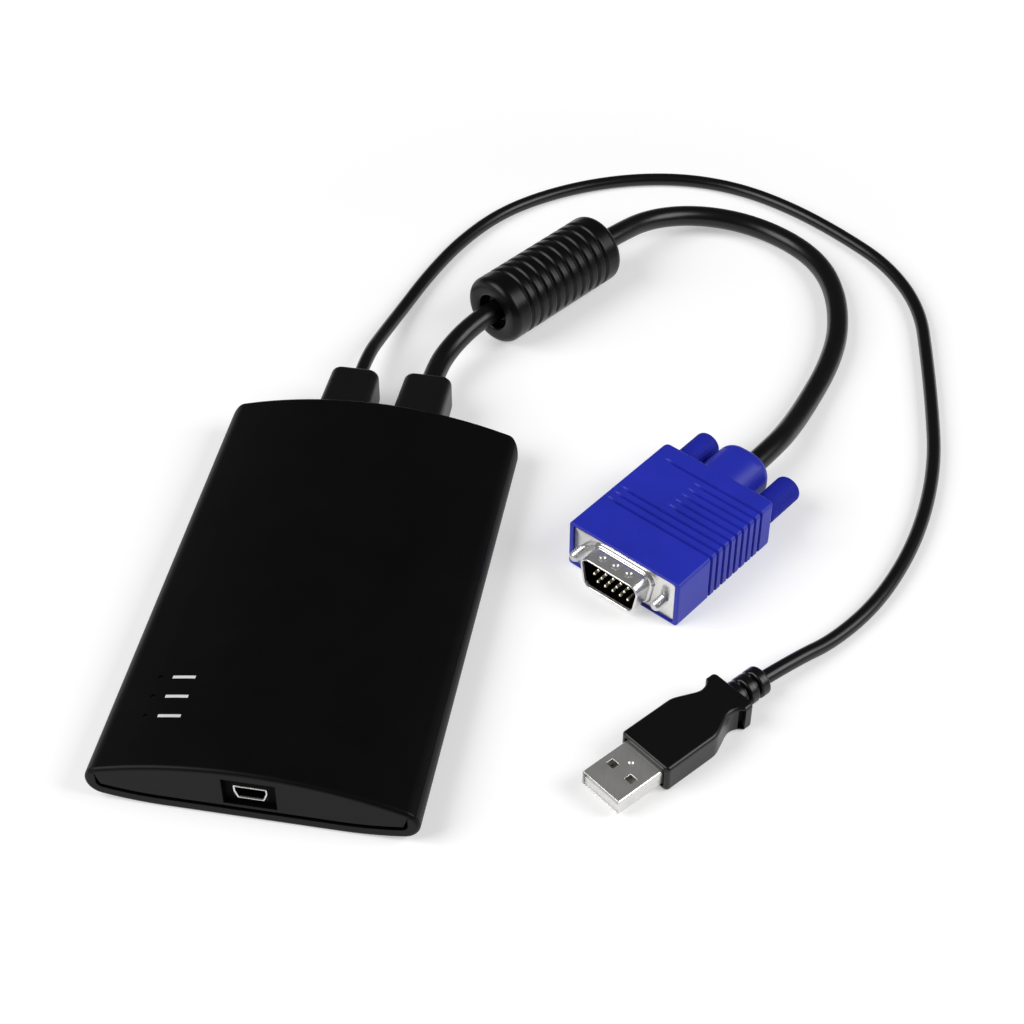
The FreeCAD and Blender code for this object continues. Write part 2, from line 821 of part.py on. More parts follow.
def make_boot(lead, wire_count):
    """A tapered strain relief that hooks into the rear panel, and the wires from it to the board."""
    x = f"{lead}_boot_x"
    boot = new_body(f"{lead}_relief")
    plan = [
        (f"{x} - boot_base_width/2", "rear"),
        (f"{x} + boot_base_width/2", "rear"),
        (f"{x} + boot_tip_width/2", "boot_end"),
        (f"{x} - boot_tip_width/2", "boot_end"),
    ]
    floor, roof = "boot_axis_height - boot_base_height/2", "boot_axis_height + boot_base_height/2"
    pad_z(boot, f"{lead}_plan", [plan], floor, "boot_base_height")
    fall = "(boot_base_height - boot_tip_height)/2"
    wedges = [
        [("rear", floor), ("boot_end", floor), ("boot_end", f"{floor} + {fall}")],
        [("rear", roof), ("boot_end", f"{roof} - {fall}"), ("boot_end", roof)],
    ]
    pocket_x(boot, f"{lead}_wedges", wedges, f"{x} + boot_base_width", "2*boot_base_width")

    def is_long_edge(edge):
        return not lies_at(edge, "rear", 1) and not lies_at(edge, "boot_end", 1)

    soften(boot, f"{lead}_corners", "Fillet", is_long_edge, Radius="boot_corner")
    soften(boot, f"{lead}_tip_round", "Fillet",
           lambda edge: lies_at(edge, "boot_end", 1), Radius="boot_tip_round")
    for part, grow, start, depth in (
        ("neck", "0", "rear - end_wall", "end_wall"),
        ("hook", "neck_flange", "flange_start", "neck_flange_depth"),
    ):
        roof = f"neck_top + {grow}"
        section = rectangle(f"neck_width + 2*{grow}", f"{roof} - lip", x, f"(lip + {roof})/2")
        pad_y(boot, f"{lead}_{part}", [section], start, depth)
    keep(boot, f"{lead}_boot")
    back = "header_y + header_depth/2"
    wires = [
        rod_y(f"{lead}_wire_{index}", f"{lead}_wire_radius", f"flange_start - ({back})",
              f"{x} + {index - (wire_count - 1) / 2}*wire_pitch", back, "boot_axis_height + lip/3")
        for index in range(wire_count)
    ]
    keep(group(f"{lead}_wire_set", wires), f"{lead}_wires")


def cord_edges(points):
    """Straight runs joined by tangent arcs that take up nearly half of the shorter run at each corner."""
    edges, radii, start = [], [], points[0]
    for before, corner, after in zip(points, points[1:], points[2:]):
        back, ahead = before - corner, after - corner
        half_turn = (math.pi - back.getAngle(ahead)) / 2
        setback = 0.45 * min(back.Length, ahead.Length)
        radius = setback / math.tan(half_turn)
        back.normalize()
        ahead.normalize()
        inward = (back + ahead).normalize() * (radius / math.cos(half_turn) - radius)
        enter, leave = corner + back * setback, corner + ahead * setback
        edges.append(Part.LineSegment(start, enter).toShape())
        edges.append(Part.Arc(enter, corner + inward, leave).toShape())
        radii.append(radius)
        start = leave
    edges.append(Part.LineSegment(start, points[-1]).toShape())
    return edges, radii


def make_cord(label, points, radius):
    """A round lead swept along its route; tells its length and tightest bend."""
    edges, radii = cord_edges(points)
    section = Part.Wire([Part.makeCircle(radius, points[0], points[1] - points[0])])
    cord = doc.addObject("Part::Feature", label)
    cord.Shape = Part.Wire(edges).makePipeShell([section], True, False)
    keep(cord, label)
    length = sum(edge.Length for edge in edges)
    share = cord.Shape.Volume / (math.pi * radius**2 * length)
    runs = [start.distanceToPoint(end) for start, end in zip(points, points[1:])]
    print(label, "length", round(length, 1), "volume share", round(share, 5))
    print("  bend radii", [round(bend, 1) for bend in radii])
    print("  runs", [round(run, 1) for run in runs])


def lead_route(lead, laid, pose, plug_axis, plug_end):
    """All points of a lead: straight out of its boot, along the table, and straight into its plug."""
    run_out, run_in = value(f"{lead}_run_out"), value(f"{lead}_run_in")
    radius = value(f"{lead}_cable_radius")
    mouth = Vector(value(f"{lead}_boot_x"), value("boot_end"), value("boot_axis_height"))
    last = pose.multVec(Vector(0, value(plug_end), value(plug_axis)))
    inward = pose.multVec(Vector(0, value(plug_end) + run_in, value(plug_axis)))
    middle = [Vector(x, y, radius + lift) for x, y, lift in laid]
    return [mouth, mouth + Vector(0, run_out, 0)] + middle + [inward, last]


def make_bead(start, end):
    """A ferrite sleeve in a ribbed jacket, on the straight stretch of the thick lead between two points."""
    middle, along = (start + end) / 2, end - start
    turn = math.degrees(math.atan2(-along.x, along.y))
    pose = Placement(Vector(middle.x, middle.y, 0), Rotation(Vector(0, 0, 1), turn))
    half, bore = "bead_length/2", "vga_cable_radius + fit/2"
    core_out, core_end = "bead_radius - bead_groove_depth - bead_skin", "bead_length/2 - bead_end"
    shoulder, rim = f"{half} - bead_round", "bead_radius - bead_round"
    jacket = new_body("bead_jacket")
    profile = [
        (bore, f"-{half}"),
        (rim, f"-{half}", rim, f"-({shoulder})"),
        ("bead_radius", f"-({shoulder})"),
        ("bead_radius", shoulder, rim, shoulder),
        (rim, half),
        (bore, half),
        (bore, core_end),
        (core_out, core_end),
        (core_out, f"-({core_end})"),
        (bore, f"-({core_end})"),
    ]
    turned(jacket, "jacket_turned", [profile], "bead_radius")
    pitch = "(bead_length - 2*bead_collar - bead_groove_width) / (bead_rings - 1)"
    first = f"bead_collar - {half} + bead_groove_width/2"
    groove = turned(
        jacket, "first_groove",
        [rectangle("2*bead_groove_depth", "bead_groove_width", "bead_radius", first)],
        "bead_radius", cut=True,
    )
    row_y(jacket, "ring_grooves", groove, pitch, "bead_rings")
    keep(jacket, "ferrite_jacket", pose)
    core = new_body("bead_core")
    ring = [
        (bore, f"-({core_end}) + fit"),
        (f"{core_out} - fit", f"-({core_end}) + fit"),
        (f"{core_out} - fit", f"{core_end} - fit"),
        (bore, f"{core_end} - fit"),
    ]
    turned(core, "core_turned", [ring], "bead_radius")
    keep(core, "ferrite_core", pose)


def make_video_hood(pose):
    """The plug's grip: a block with ribs all round, a smooth thumb patch, and a round neck for the lead."""
    hood = new_body("hood")
    half, inner = "hood_width/2", "hood_width/2 - hood_corner"
    back, corner_y = "hood_length", "hood_length - hood_corner"
    plan = [
        (f"-{half}", "-hood_rim"),
        (half, "-hood_rim"),
        (half, corner_y, inner, corner_y),
        (inner, back),
        (f"-({inner})", back, f"-({inner})", corner_y),
        (f"-{half}", corner_y),
    ]
    pad_z(hood, "hood_pad", [plan], "0", "hood_thickness")

    def is_long_edge(edge):
        level = lies_at(edge, "0", 2) or lies_at(edge, "hood_thickness", 2)
        return level and not lies_at(edge, "-hood_rim", 1)

    soften(hood, "hood_edges", "Fillet", is_long_edge, Radius="hood_edge")
    frame = [
        rectangle("hood_width + 2", "hood_thickness + 2", "0", "hood_mid"),
        rectangle("hood_width - 2*groove_depth", "hood_thickness - 2*groove_depth", "0", "hood_mid"),
    ]
    groove = pocket_y(hood, "first_rib_groove", frame, "groove_first", "groove_width")
    row_y(hood, "rib_grooves", groove, "groove_pitch", "groove_count")
    patch_left = "-hood_width/2 + patch_inset"
    patch = rectangle(f"patch_right - ({patch_left})", "patch_length",
                      f"(patch_right + {patch_left})/2", "patch_start + patch_length/2")
    pad_z(hood, "top_patch", [patch], "hood_thickness - groove_depth", "groove_depth")
    pad_z(hood, "bottom_patch", [patch], "0", "groove_depth")
    tip_y = "neck_end - neck_round"
    neck = [
        ("0", "hood_length - 1"),
        ("neck_radius", "hood_length - 1"),
        ("neck_radius", tip_y, "neck_radius - neck_round", tip_y),
        ("neck_radius - neck_round", "neck_end"),
        ("0", "neck_end"),
    ]
    turned(hood, "lead_neck", [neck], "hood_mid")
    seat = rectangle("flange_width + 2*fit", "flange_height + 2*fit", "0", "hood_mid")
    pocket_y(hood, "flange_pocket", [seat], "-hood_rim", "hood_rim + flange_thickness")
    pocket_y(hood, "block_pocket", [shroud_outline("-shroud_wall")],
             "flange_thickness", "insulator_length - insulator_face - flange_thickness + pin_tail + fit")
    ways = [("circle", x, "hood_mid", "jack_radius + jack_clearance") for x in ("-jack_x", "jack_x")]
    pocket_y(hood, "jack_ways", ways, "flange_thickness", "hood_length")
    keep(hood, "vga_hood", pose)


def shroud_outline(grow):
    """The plug's D, grown or set in all round."""
    return dee(f"shroud_width + 2*({grow})", f"shroud_height + 2*({grow})",
               f"(shroud_corner + {grow})", "hood_mid")


def make_video_shell(pose):
    """The pressed metal front: a flange, and a D-shaped shroud with a step at its root and grip dimples."""
    shell = new_body("video_shell")
    mouth = shroud_outline("-shroud_wall")
    holes = [("circle", x, "hood_mid", "jack_radius + jack_clearance") for x in ("-jack_x", "jack_x")]
    plate = [rectangle("flange_width", "flange_height", "0", "hood_mid"), mouth] + holes
    pad_y(shell, "flange", plate, "0", "flange_thickness")
    pad_y(shell, "shroud", [shroud_outline("0"), mouth], "-shroud_depth", "shroud_depth")
    pad_y(shell, "root_step", [shroud_outline("shroud_step"), mouth],
          "-shroud_step_depth", "shroud_step_depth")
    dimples = [
        ("circle", f"{index - 1}*dimple_pitch", "-shroud_depth/2", "dimple_radius")
        for index in range(3)
    ]
    pocket_z(shell, "dimples", dimples, "hood_mid + shroud_height/2", "dimple_depth")
    keep(shell, "vga_shell", pose)


def pin_circles(radius):
    """Fifteen circles in three rows, the middle row half a pitch aside."""
    return [
        ("circle", f"({column - 2} + {0.25 - 0.5 * (row % 2)})*pin_pitch",
         f"hood_mid + {row - 1}*pin_row_pitch", radius)
        for row in range(3)
        for column in range(5)
    ]


def make_video_core(pose):
    """The black block that carries the pins, and the fifteen pins."""
    insulator = new_body("video_block")
    section = [shroud_outline("-shroud_wall - fit/2")] + pin_circles("pin_radius + fit/10")
    pad_y(insulator, "video_block_pad", section, "-insulator_face", "insulator_length")
    keep(insulator, "vga_insulator", pose)
    pins = new_body("pin_set")
    pad_y(pins, "pin_rods", pin_circles("pin_radius"), "-pin_reach",
          "pin_reach - insulator_face + insulator_length + pin_tail")
    soften(pins, "pin_tips", "Chamfer", lambda edge: lies_at(edge, "-pin_reach", 1), Size="pin_radius/2")
    keep(pins, "vga_pins", pose)


def make_thumbscrew(side, x, pose):
    """A steel jackscrew with a slimmer shank, which keeps it captive, and the knob moulded on its end."""
    screw = new_body(f"{side}_screw")
    end = "knob_start + knob_grip"
    shaft = [
        ("0", "-jack_reach"),
        ("jack_radius - jack_tip", "-jack_reach"),
        ("jack_radius", "-jack_reach + jack_tip"),
        ("jack_radius", "-jack_neck"),
        ("shank_radius", "-jack_neck"),
        ("shank_radius", end),
        ("0", end),
    ]
    turned(screw, f"{side}_shaft", [shaft], "hood_mid", x)
    keep(screw, f"{side}_thumbscrew", pose)
    knob = new_body(f"{side}_grip")
    tip, rim = "knob_start + knob_length", "knob_radius - knob_round"
    profile = [
        ("shank_radius + knob_fit", "knob_start"),
        (rim, "knob_start", rim, "knob_start + knob_round"),
        ("knob_radius", "knob_start + knob_round"),
        ("knob_radius", f"{tip} - knob_round", rim, f"{tip} - knob_round"),
        (rim, tip),
        ("0", tip),
        ("0", end),
        ("shank_radius + knob_fit", end),
    ]
    turned(knob, f"{side}_knob_turned", [profile], "hood_mid", x)
    keep(knob, f"{side}_knob", pose)


def make_usb_grip(pose):
    """The plug's moulded grip, which draws in to a waist, flares to finger stops and ends in a relief."""
    grip = new_body("usb_grip")
    wide, waist, wing = "grip_width/2", "grip_waist/2", "wing_width/2"
    step, run = f"({wide} - {waist})", "(grip_taper - 2*grip_knee)"
    slope = f"sqrt({step}^2 + {run}^2)"
    bend = f"(grip_knee * {step} / ({slope} - {run}))"
    knee_in, knee_along = f"grip_knee*{step}/{slope}", f"(grip_knee + grip_knee*{run}/{slope})"
    high_x, high_y = f"({wide} - {knee_in})", f"(grip_shoulder + {knee_along})"
    low_x, low_y = f"({waist} + {knee_in})", f"(grip_neck - {knee_along})"
    flare = f"(({wing} - {waist})^2 + wing_flare^2) / (2*({wing} - {waist}))"
    corner_x, corner_y = f"({wide} - grip_corner)", "(grip_start + grip_corner)"
    right = [
        (corner_x, "grip_start", corner_x, corner_y),
        (wide, corner_y),
        (wide, "grip_shoulder", f"{wide} - {bend}", "grip_shoulder"),
        (high_x, high_y),
        (low_x, low_y, f"{waist} + {bend}", "grip_neck"),
        (waist, "grip_neck", f"{waist} + {flare}", "grip_neck"),
        (wing, "wing_tip"),
        (wing, "grip_end"),
    ]
    left = [
        (f"-{wing}", "grip_end"),
        (f"-{wing}", "wing_tip", f"-({waist} + {flare})", "grip_neck"),
        (f"-{waist}", "grip_neck", f"-({waist} + {bend})", "grip_neck"),
        (f"-{low_x}", low_y),
        (f"-{high_x}", high_y, f"-({wide} - {bend})", "grip_shoulder"),
        (f"-{wide}", "grip_shoulder"),
        (f"-{wide}", corner_y, f"-{corner_x}", corner_y),
        (f"-{corner_x}", "grip_start"),
    ]
    pad_z(grip, "grip_pad", [right + left], "0", "grip_thickness")
    soften(grip, "grip_bevels", "Chamfer",
           lambda edge: lies_at(edge, "0", 2) or lies_at(edge, "grip_thickness", 2), Size="grip_bevel")
    slots = [
        rectangle("2*slot_depth", "slot_width", f"{sign}{wing}", "wing_tip - slot_width/2")
        for sign in ("-", "")
    ]
    pocket_z(grip, "wing_slots", slots, "plug_mid + slot_height/2", "slot_height")
    relief = [
        ("0", "grip_end - 1"),
        ("relief_radius", "grip_end - 1"),
        ("relief_radius", "relief_end"),
        ("0", "relief_end"),
    ]
    turned(grip, "relief", [relief], "plug_mid")
    pitch = "relief_length / relief_rings"
    first = "grip_end + relief_groove/2"
    ring = rectangle("2*relief_groove_depth", "relief_groove", "relief_radius", first)
    groove = turned(grip, "first_relief_groove", [ring], "plug_mid", cut=True)
    row_y(grip, "relief_grooves", groove, pitch, "relief_rings")
    pocket_y(grip, "shell_pocket", [rectangle("plug_width + fit", "plug_height + fit", "0", "plug_mid")],
             "grip_start", "plug_seat")
    keep(grip, "usb_overmould", pose)


def make_usb_core(pose):
    """The folded metal mouth with its latch windows, the block in it, and four contact strips."""
    shell = new_body("usb_shell")
    outer = rectangle("plug_width", "plug_height", "0", "plug_mid")
    inner = rectangle("plug_width - 2*plug_wall", "plug_height - 2*plug_wall", "0", "plug_mid")
    back = "plug_reach + plug_seat"
    pad_y(shell, "usb_mouth", [outer, inner], "0", back)

    def is_long_edge(edge):
        outside = lies_at(edge, "plug_width/2", 0) or lies_at(edge, "-plug_width/2", 0)
        return outside and not lies_at(edge, "0", 1) and not lies_at(edge, back, 1)

    soften(shell, "shell_edges", "Fillet", is_long_edge, Radius="plug_corner")
    windows = [
        rectangle("window_side", "window_side", f"{sign}window_spacing/2", "window_setback + window_side/2")
        for sign in ("-", "")
    ]
    pocket_z(shell, "latch_windows", windows, "plug_mid + plug_height/2", "plug_height")
    keep(shell, "usb_plug_shell", pose)

    core = new_body("usb_block")
    floor = "plug_mid - plug_height/2 + plug_wall"
    width = "plug_width - 2*plug_wall - fit"
    pad_y(core, "tray_pad", [rectangle(width, "tray_height", "0", f"{floor} + tray_height/2")],
          "tray_setback", f"{back} - tray_setback")
    rear = rectangle(width, "plug_height - 2*plug_wall - fit", "0", "plug_mid - fit/2")
    pad_y(core, "block_rear", [rear], "tray_setback + tray_length", f"{back} - tray_setback - tray_length")
    keep(core, "usb_plug_insulator", pose)

    level = f"{floor} + tray_height + strip_thickness/2"
    strips = [
        rectangle("strip_width", "strip_thickness", f"{sign}{spacing}/2", level)
        for spacing in ("strip_inner", "strip_outer")
        for sign in ("-", "")
    ]
    contacts = new_body("usb_strips")
    pad_y(contacts, "strip_pads", strips, "tray_setback + tray_length - strip_length", "strip_length")
    keep(contacts, "usb_plug_contacts", pose)


# Where the two plugs lie: the place of a plug's frame on the table, and its turn.
VGA_POSE = Placement(Vector(70.2, 20.6, 0), Rotation(Vector(0, 0, 1), -30.7))
USB_POSE = Placement(Vector(74.3, -44.1, 0), Rotation(Vector(0, 0, 1), -38.5))

# Where the leads lie between boot and plug: x, y, and how high the lead's underside is off the table.
USB_LAID = [
    (-7.4, 101.5, 2.8), (-5.2, 115.5, 0.6), (-1.4, 132.5, 0.05), (4.2, 149.2, 0.05),
    (12.6, 164.6, 0.05), (23.5, 175.6, 0.05), (37.0, 184.4, 0.05), (51.8, 190.2, 0.05),
    (67.0, 192.3, 0.05), (82.5, 190.0, 0.05), (97.8, 183.2, 0.05), (112.8, 172.8, 0.05),
    (126.4, 160.0, 0.05), (136.0, 142.0, 0.05), (140.0, 120.0, 0.05), (142.2, 99.6, 0.05),
    (143.3, 80.0, 0.05), (141.5, 60.5, 0.05), (137.2, 43.0, 0.05), (129.9, 26.0, 0.05),
    (120.2, 13.3, 0.05),
]
BEAD_LIFT = value("bead_radius - vga_cable_radius")
VGA_LAID = [
    (12.9, 95.7, 5.2), (17.5, 104.21, BEAD_LIFT), (49.4, 150.73, BEAD_LIFT), (57.2, 162.2, 5.0),
    (69.2, 169.5, 2.9), (83.1, 171.1, 1.2), (96.5, 166.8, 0.05), (107.0, 157.3, 0.05),
    (112.9, 143.8, 0.05), (114.9, 126.7, 0.05), (113.2, 111.9, 0.05), (109.3, 97.7, 0.05),
    (105.3, 84.5, 0.5),
]

outside = make_case_form()
make_lower_shell(outside)
make_upper_shell(outside)
make_case_screws()
make_board()
make_board_pieces()
make_socket()
make_boot("usb", 4)
make_boot("vga", 6)
usb_route = lead_route("usb", USB_LAID, USB_POSE, "plug_mid", "relief_end")
vga_route = lead_route("vga", VGA_LAID, VGA_POSE, "hood_mid", "neck_end")
make_cord("usb_cable", usb_route, value("usb_cable_radius"))
make_cord("vga_cable", vga_route, value("vga_cable_radius"))
make_bead(vga_route[3], vga_route[4])
make_video_hood(VGA_POSE)
make_video_shell(VGA_POSE)
make_video_core(VGA_POSE)
make_thumbscrew("left", "-jack_x", VGA_POSE)
make_thumbscrew("right", "jack_x", VGA_POSE)
make_usb_grip(USB_POSE)
make_usb_core(USB_POSE)
doc.recompute()

for feature in doc.Objects:
    if {"Invalid", "Error"} & set(feature.State):
        raise RuntimeError(f"{feature.Name}: {feature.State}")
for feature in nodes:
    if feature.Shape.isNull() or not feature.Shape.isValid():
        raise RuntimeError(f"{feature.Label} has no sound shape")
os.makedirs("parts", exist_ok=True)
for feature in nodes:
    feature.Shape.exportStep(f"parts/{feature.Label}.step")
    print(feature.Label, len(feature.Shape.Solids), round(feature.Shape.Volume, 1))
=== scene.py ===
# %% [markdown]
# # A crash cart adapter
# The real object is a flat black box that lets a notebook stand in for a server's screen and keyboard.
# Two leads are moulded into its rear: a thin one with a USB-A plug, and a thick one with a ferrite bead
# and a blue video plug. The CAD model gives every piece its place and size. This lesson dresses it: first
# the camera, the finishes and the leads, then the pieces whose soft edges the CAD model leaves out, and
# last the floor and the lamps. It all stands in the frame of the CAD model: X runs across the case, Y from
# its front panel to its rear, and Z up. Pieces are written in millimetres, the stage in metres.

# %% The fixed frame
import bmesh
import bpy
import json
import math
import numpy as np
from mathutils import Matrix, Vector


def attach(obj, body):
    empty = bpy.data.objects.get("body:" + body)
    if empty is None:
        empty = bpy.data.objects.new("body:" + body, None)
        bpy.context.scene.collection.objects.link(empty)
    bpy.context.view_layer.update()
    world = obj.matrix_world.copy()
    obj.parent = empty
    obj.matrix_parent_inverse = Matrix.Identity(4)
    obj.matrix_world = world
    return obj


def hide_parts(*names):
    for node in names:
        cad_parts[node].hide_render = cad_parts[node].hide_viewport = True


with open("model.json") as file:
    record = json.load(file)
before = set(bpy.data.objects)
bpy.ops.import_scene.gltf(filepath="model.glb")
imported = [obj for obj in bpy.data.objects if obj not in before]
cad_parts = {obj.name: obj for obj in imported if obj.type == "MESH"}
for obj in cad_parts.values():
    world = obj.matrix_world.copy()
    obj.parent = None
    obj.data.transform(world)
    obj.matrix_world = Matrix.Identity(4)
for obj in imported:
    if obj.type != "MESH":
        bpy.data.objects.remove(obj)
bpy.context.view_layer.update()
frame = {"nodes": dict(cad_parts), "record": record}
MM = 0.001

# %% [markdown]
# ## Camera
# The photograph looks down on the table from the front right. Its lens, place and tilt were solved from
# parts with standard sizes: the metal mouth of the USB plug and the flange of the video plug. A camera
# A camera could be nudged until the picture looks right, but a solved one has the real lens, place and tilt.

# %% Camera
camera_data = bpy.data.cameras.new("camera")
camera_data.sensor_width = 36.0
camera_data.lens = 74.57
camera = bpy.data.objects.new("camera", camera_data)
camera.location = (0.10705, -0.33505, 0.37121)
camera.rotation_euler = (math.radians(46.035), 0.0, math.radians(10.217))
bpy.context.scene.collection.objects.link(camera)
bpy.context.scene.camera = camera
bpy.context.scene.view_settings.view_transform = "Standard"
print("camera", tuple(round(c, 3) for c in camera.location))

# %% [markdown]
# ## Shader arithmetic
# A finish is a small program: noise makes grain, grain shifts roughness, and so on. Wiring each step by
# hand is long and hard to read, so one class wraps a socket and lets Python's own operators add the Math
# nodes. Every other node comes from one method, which takes its type, its settings and its sockets.

# %% A wire and a graph of nodes
class Wire:
    """A node's output socket; arithmetic on it adds Math nodes to the same graph. a | b is the larger."""

    def __init__(self, graph, socket):
        self.graph, self.socket = graph, socket

    def math(self, operation, first, second):
        return self.graph.node("ShaderNodeMath", {"operation": operation}, {0: first, 1: second})

    def __add__(self, other):
        return self.math("ADD", self, other)

    def __sub__(self, other):
        return self.math("SUBTRACT", self, other)

    def __rsub__(self, other):
        return self.math("SUBTRACT", other, self)

    def __mul__(self, other):
        return self.math("MULTIPLY", self, other)

    def __or__(self, other):
        return self.math("MAXIMUM", self, other)

    __radd__ = __add__
    __rmul__ = __mul__
    __ror__ = __or__


class Graph:
    """A node tree being wired."""

    def __init__(self, tree):
        self.tree = tree

    def node(self, kind, settings, sockets, output=0):
        """Any node: its settings (or a ramp's two stops) first, then a value or a link for each socket."""
        made = self.tree.nodes.new(kind)
        for name, setting in settings.items():
            if name == "stops":
                for element, (position, colour) in zip(made.color_ramp.elements, setting):
                    element.position, element.color = position, (*colour, 1.0)
            else:
                setattr(made, name, setting)
        for name, given in sockets.items():
            if isinstance(given, Wire):
                self.tree.links.new(given.socket, made.inputs[name])
            else:
                made.inputs[name].default_value = given
        return Wire(self, made.outputs[output]) if made.outputs else None


print("graph tools ready")

# %% A finish
class Finish(Graph):
    """A material being made: a Principled shader whose constants are set on its own sockets."""

    def __init__(self, name, colour, roughness, constants):
        self.material = bpy.data.materials.new(name)
        self.material.use_nodes = True
        self.material.diffuse_color = (*colour, 1.0)
        super().__init__(self.material.node_tree)
        self.shader = self.tree.nodes["Principled BSDF"]
        everywhere = {"Base Color": (*colour, 1.0), "Roughness": roughness, **constants}
        for socket, constant in everywhere.items():
            self.shader.inputs[socket].default_value = constant

    def noise(self, size, detail, stretch=(1.0, 1.0, 1.0)):
        """Noise between 0 and 1 whose blotches are about this many millimetres across."""
        place = self.node("ShaderNodeTexCoord", {}, {}, "Object")
        drawn = self.node("ShaderNodeMapping", {}, {"Vector": place, "Scale": stretch})
        sockets = {"Vector": drawn, "Scale": 1 / (size * MM), "Detail": detail}
        return self.node("ShaderNodeTexNoise", {}, sockets)

    def colours(self, mask, *stops):
        """A colour from a ramp along a mask, given as two (place, colour) stops."""
        return self.node("ShaderNodeValToRGB", {"stops": stops}, {"Fac": mask})

    def feed(self, socket, wire):
        """Link a wire to a socket of the shader."""
        self.tree.links.new(wire.socket, self.shader.inputs[socket])

    def bump(self, height, depth):
        """Raise the surface by a height map; depth is in millimetres."""
        sockets = {"Strength": 1.0, "Distance": depth * MM, "Height": height}
        self.feed("Normal", self.node("ShaderNodeBump", {}, sockets))


def toned(colour, factor):
    """A colour made darker or paler by a factor."""
    return tuple(factor * c for c in colour)


def plastic(name, colour, roughness, grain, depth, specular=0.5):
    """A moulded plastic: a spark-eroded grain in the surface, and blotches that shift its sheen a little."""
    finish = Finish(name, colour, roughness, {"Specular IOR Level": specular})
    blotches = finish.noise(14.0, 3.0)
    fine = finish.noise(grain, 2.0)
    dark, pale = toned(colour, 0.86), toned(colour, 1.14)
    finish.feed("Roughness", roughness + 0.12 * (blotches - 0.5))
    finish.feed("Base Color", finish.colours(blotches * 0.7 + fine * 0.3, (0.3, dark), (0.7, pale)))
    finish.bump(fine, depth)
    return finish.material


def metal(name, colour, roughness, brush):
    """Plated or drawn metal: fine lengthwise scratches, an uneven polish and a little milky haze."""
    finish = Finish(name, colour, roughness, {"Metallic": 0.82})
    blotches = finish.noise(5.0, 3.0)
    lines = finish.noise(brush, 3.0, (1.0, 0.06, 1.0))
    worn = toned(colour, 0.86)
    finish.feed("Roughness", roughness - 0.07 + 0.1 * blotches + 0.06 * lines)
    finish.feed("Base Color", finish.colours(blotches * 0.6 + lines * 0.4, (0.25, worn), (0.65, colour)))
    finish.bump(lines, 0.001)
    return finish.material


print("finish tools ready")

# %% [markdown]
# ## Finishes
# The case has a matt, rubbery paint that swallows light, the lead jackets are satin PVC, the bead is a
# glossier moulding, the video plug's grip is a saturated blue vinyl, and the plug mouths are bright nickel.
# Each could be one flat colour, but real mouldings carry a fine grain and uneven sheen, so each gets
# noise in its roughness, its colour and its surface.

# %% Finishes
CASE = plastic("case_soft_touch", (0.002, 0.002, 0.0021), 0.42, 0.35, 0.012, specular=0.12)
BOOT = plastic("boot_vinyl", (0.003, 0.003, 0.0032), 0.42, 0.5, 0.01, specular=0.32)
JACKET = plastic("lead_jacket", (0.0026, 0.0026, 0.0028), 0.3, 0.8, 0.01, specular=0.38)
BEAD = plastic("bead_moulding", (0.002, 0.002, 0.0022), 0.3, 1.2, 0.008, specular=0.22)
PLUG = plastic("plug_vinyl", (0.002, 0.002, 0.0022), 0.32, 0.4, 0.012, specular=0.36)
BLUE = plastic("blue_vinyl", (0.017, 0.027, 0.43), 0.42, 0.4, 0.012, specular=0.35)
# The knobs are the grip's blue vinyl; their darker blue is painted shade.
KNOB_PAINTED_SHADE = plastic("knob_vinyl_painted_shade", (0.013, 0.02, 0.33), 0.6, 0.4, 0.012, specular=0.12)
BLOCK = plastic("contact_block", (0.002, 0.002, 0.0022), 0.5, 0.3, 0.006, specular=0.2)
# Black with almost no sheen: painted shade that lines the shroud, the socket and the socket's recess.
PAINTED_SHADE = plastic("painted_shade_black", (0.0012, 0.0012, 0.0013), 0.6, 0.3, 0.004, specular=0.03)
WHITE = plastic("white_block", (0.75, 0.75, 0.73), 0.45, 0.4, 0.006)
PRINT = plastic("white_print", (0.72, 0.72, 0.72), 0.6, 0.25, 0.006)
CHIP = plastic("chip_epoxy", (0.02, 0.02, 0.022), 0.55, 0.2, 0.006)
IVORY = plastic("header_nylon", (0.68, 0.62, 0.48), 0.5, 0.5, 0.006)
MASK = plastic("board_mask", (0.012, 0.12, 0.05), 0.35, 1.0, 0.004)
WIRE_SKIN = plastic("wire_skin", (0.16, 0.16, 0.18), 0.45, 0.6, 0.006)
FERRITE = plastic("ferrite_ceramic", (0.07, 0.07, 0.075), 0.6, 0.3, 0.02)
LENS = plastic("lamp_lens", (0.5, 0.52, 0.42), 0.25, 0.6, 0.004)
PIPE = plastic("light_pipe", (0.008, 0.008, 0.009), 0.3, 0.8, 0.004, specular=0.3)
NICKEL = metal("nickel_plate", (0.78, 0.77, 0.75), 0.24, 0.5)
STEEL = metal("screw_steel", (0.66, 0.66, 0.67), 0.28, 0.3)
GOLD = metal("contact_gold", (0.86, 0.8, 0.62), 0.26, 0.3)
TIN = metal("tinned_can", (0.7, 0.7, 0.72), 0.32, 0.4)

SLOT_FINISH = {
    "case": CASE, "screw_steel": STEEL, "board": MASK, "chip": CHIP, "tin_can": TIN,
    "capacitor_can": TIN, "header": IVORY, "lamp": LENS, "light_pipe": PIPE, "plated_shell": NICKEL,
    "black_block": BLOCK, "white_block": WHITE, "contact_gold": GOLD, "boot": BOOT, "wire": WIRE_SKIN,
    "cable_jacket": JACKET, "bead_jacket": BEAD, "ferrite": FERRITE, "blue_grip": BLUE, "plug_grip": PLUG,
}
print("finishes:", len(SLOT_FINISH))
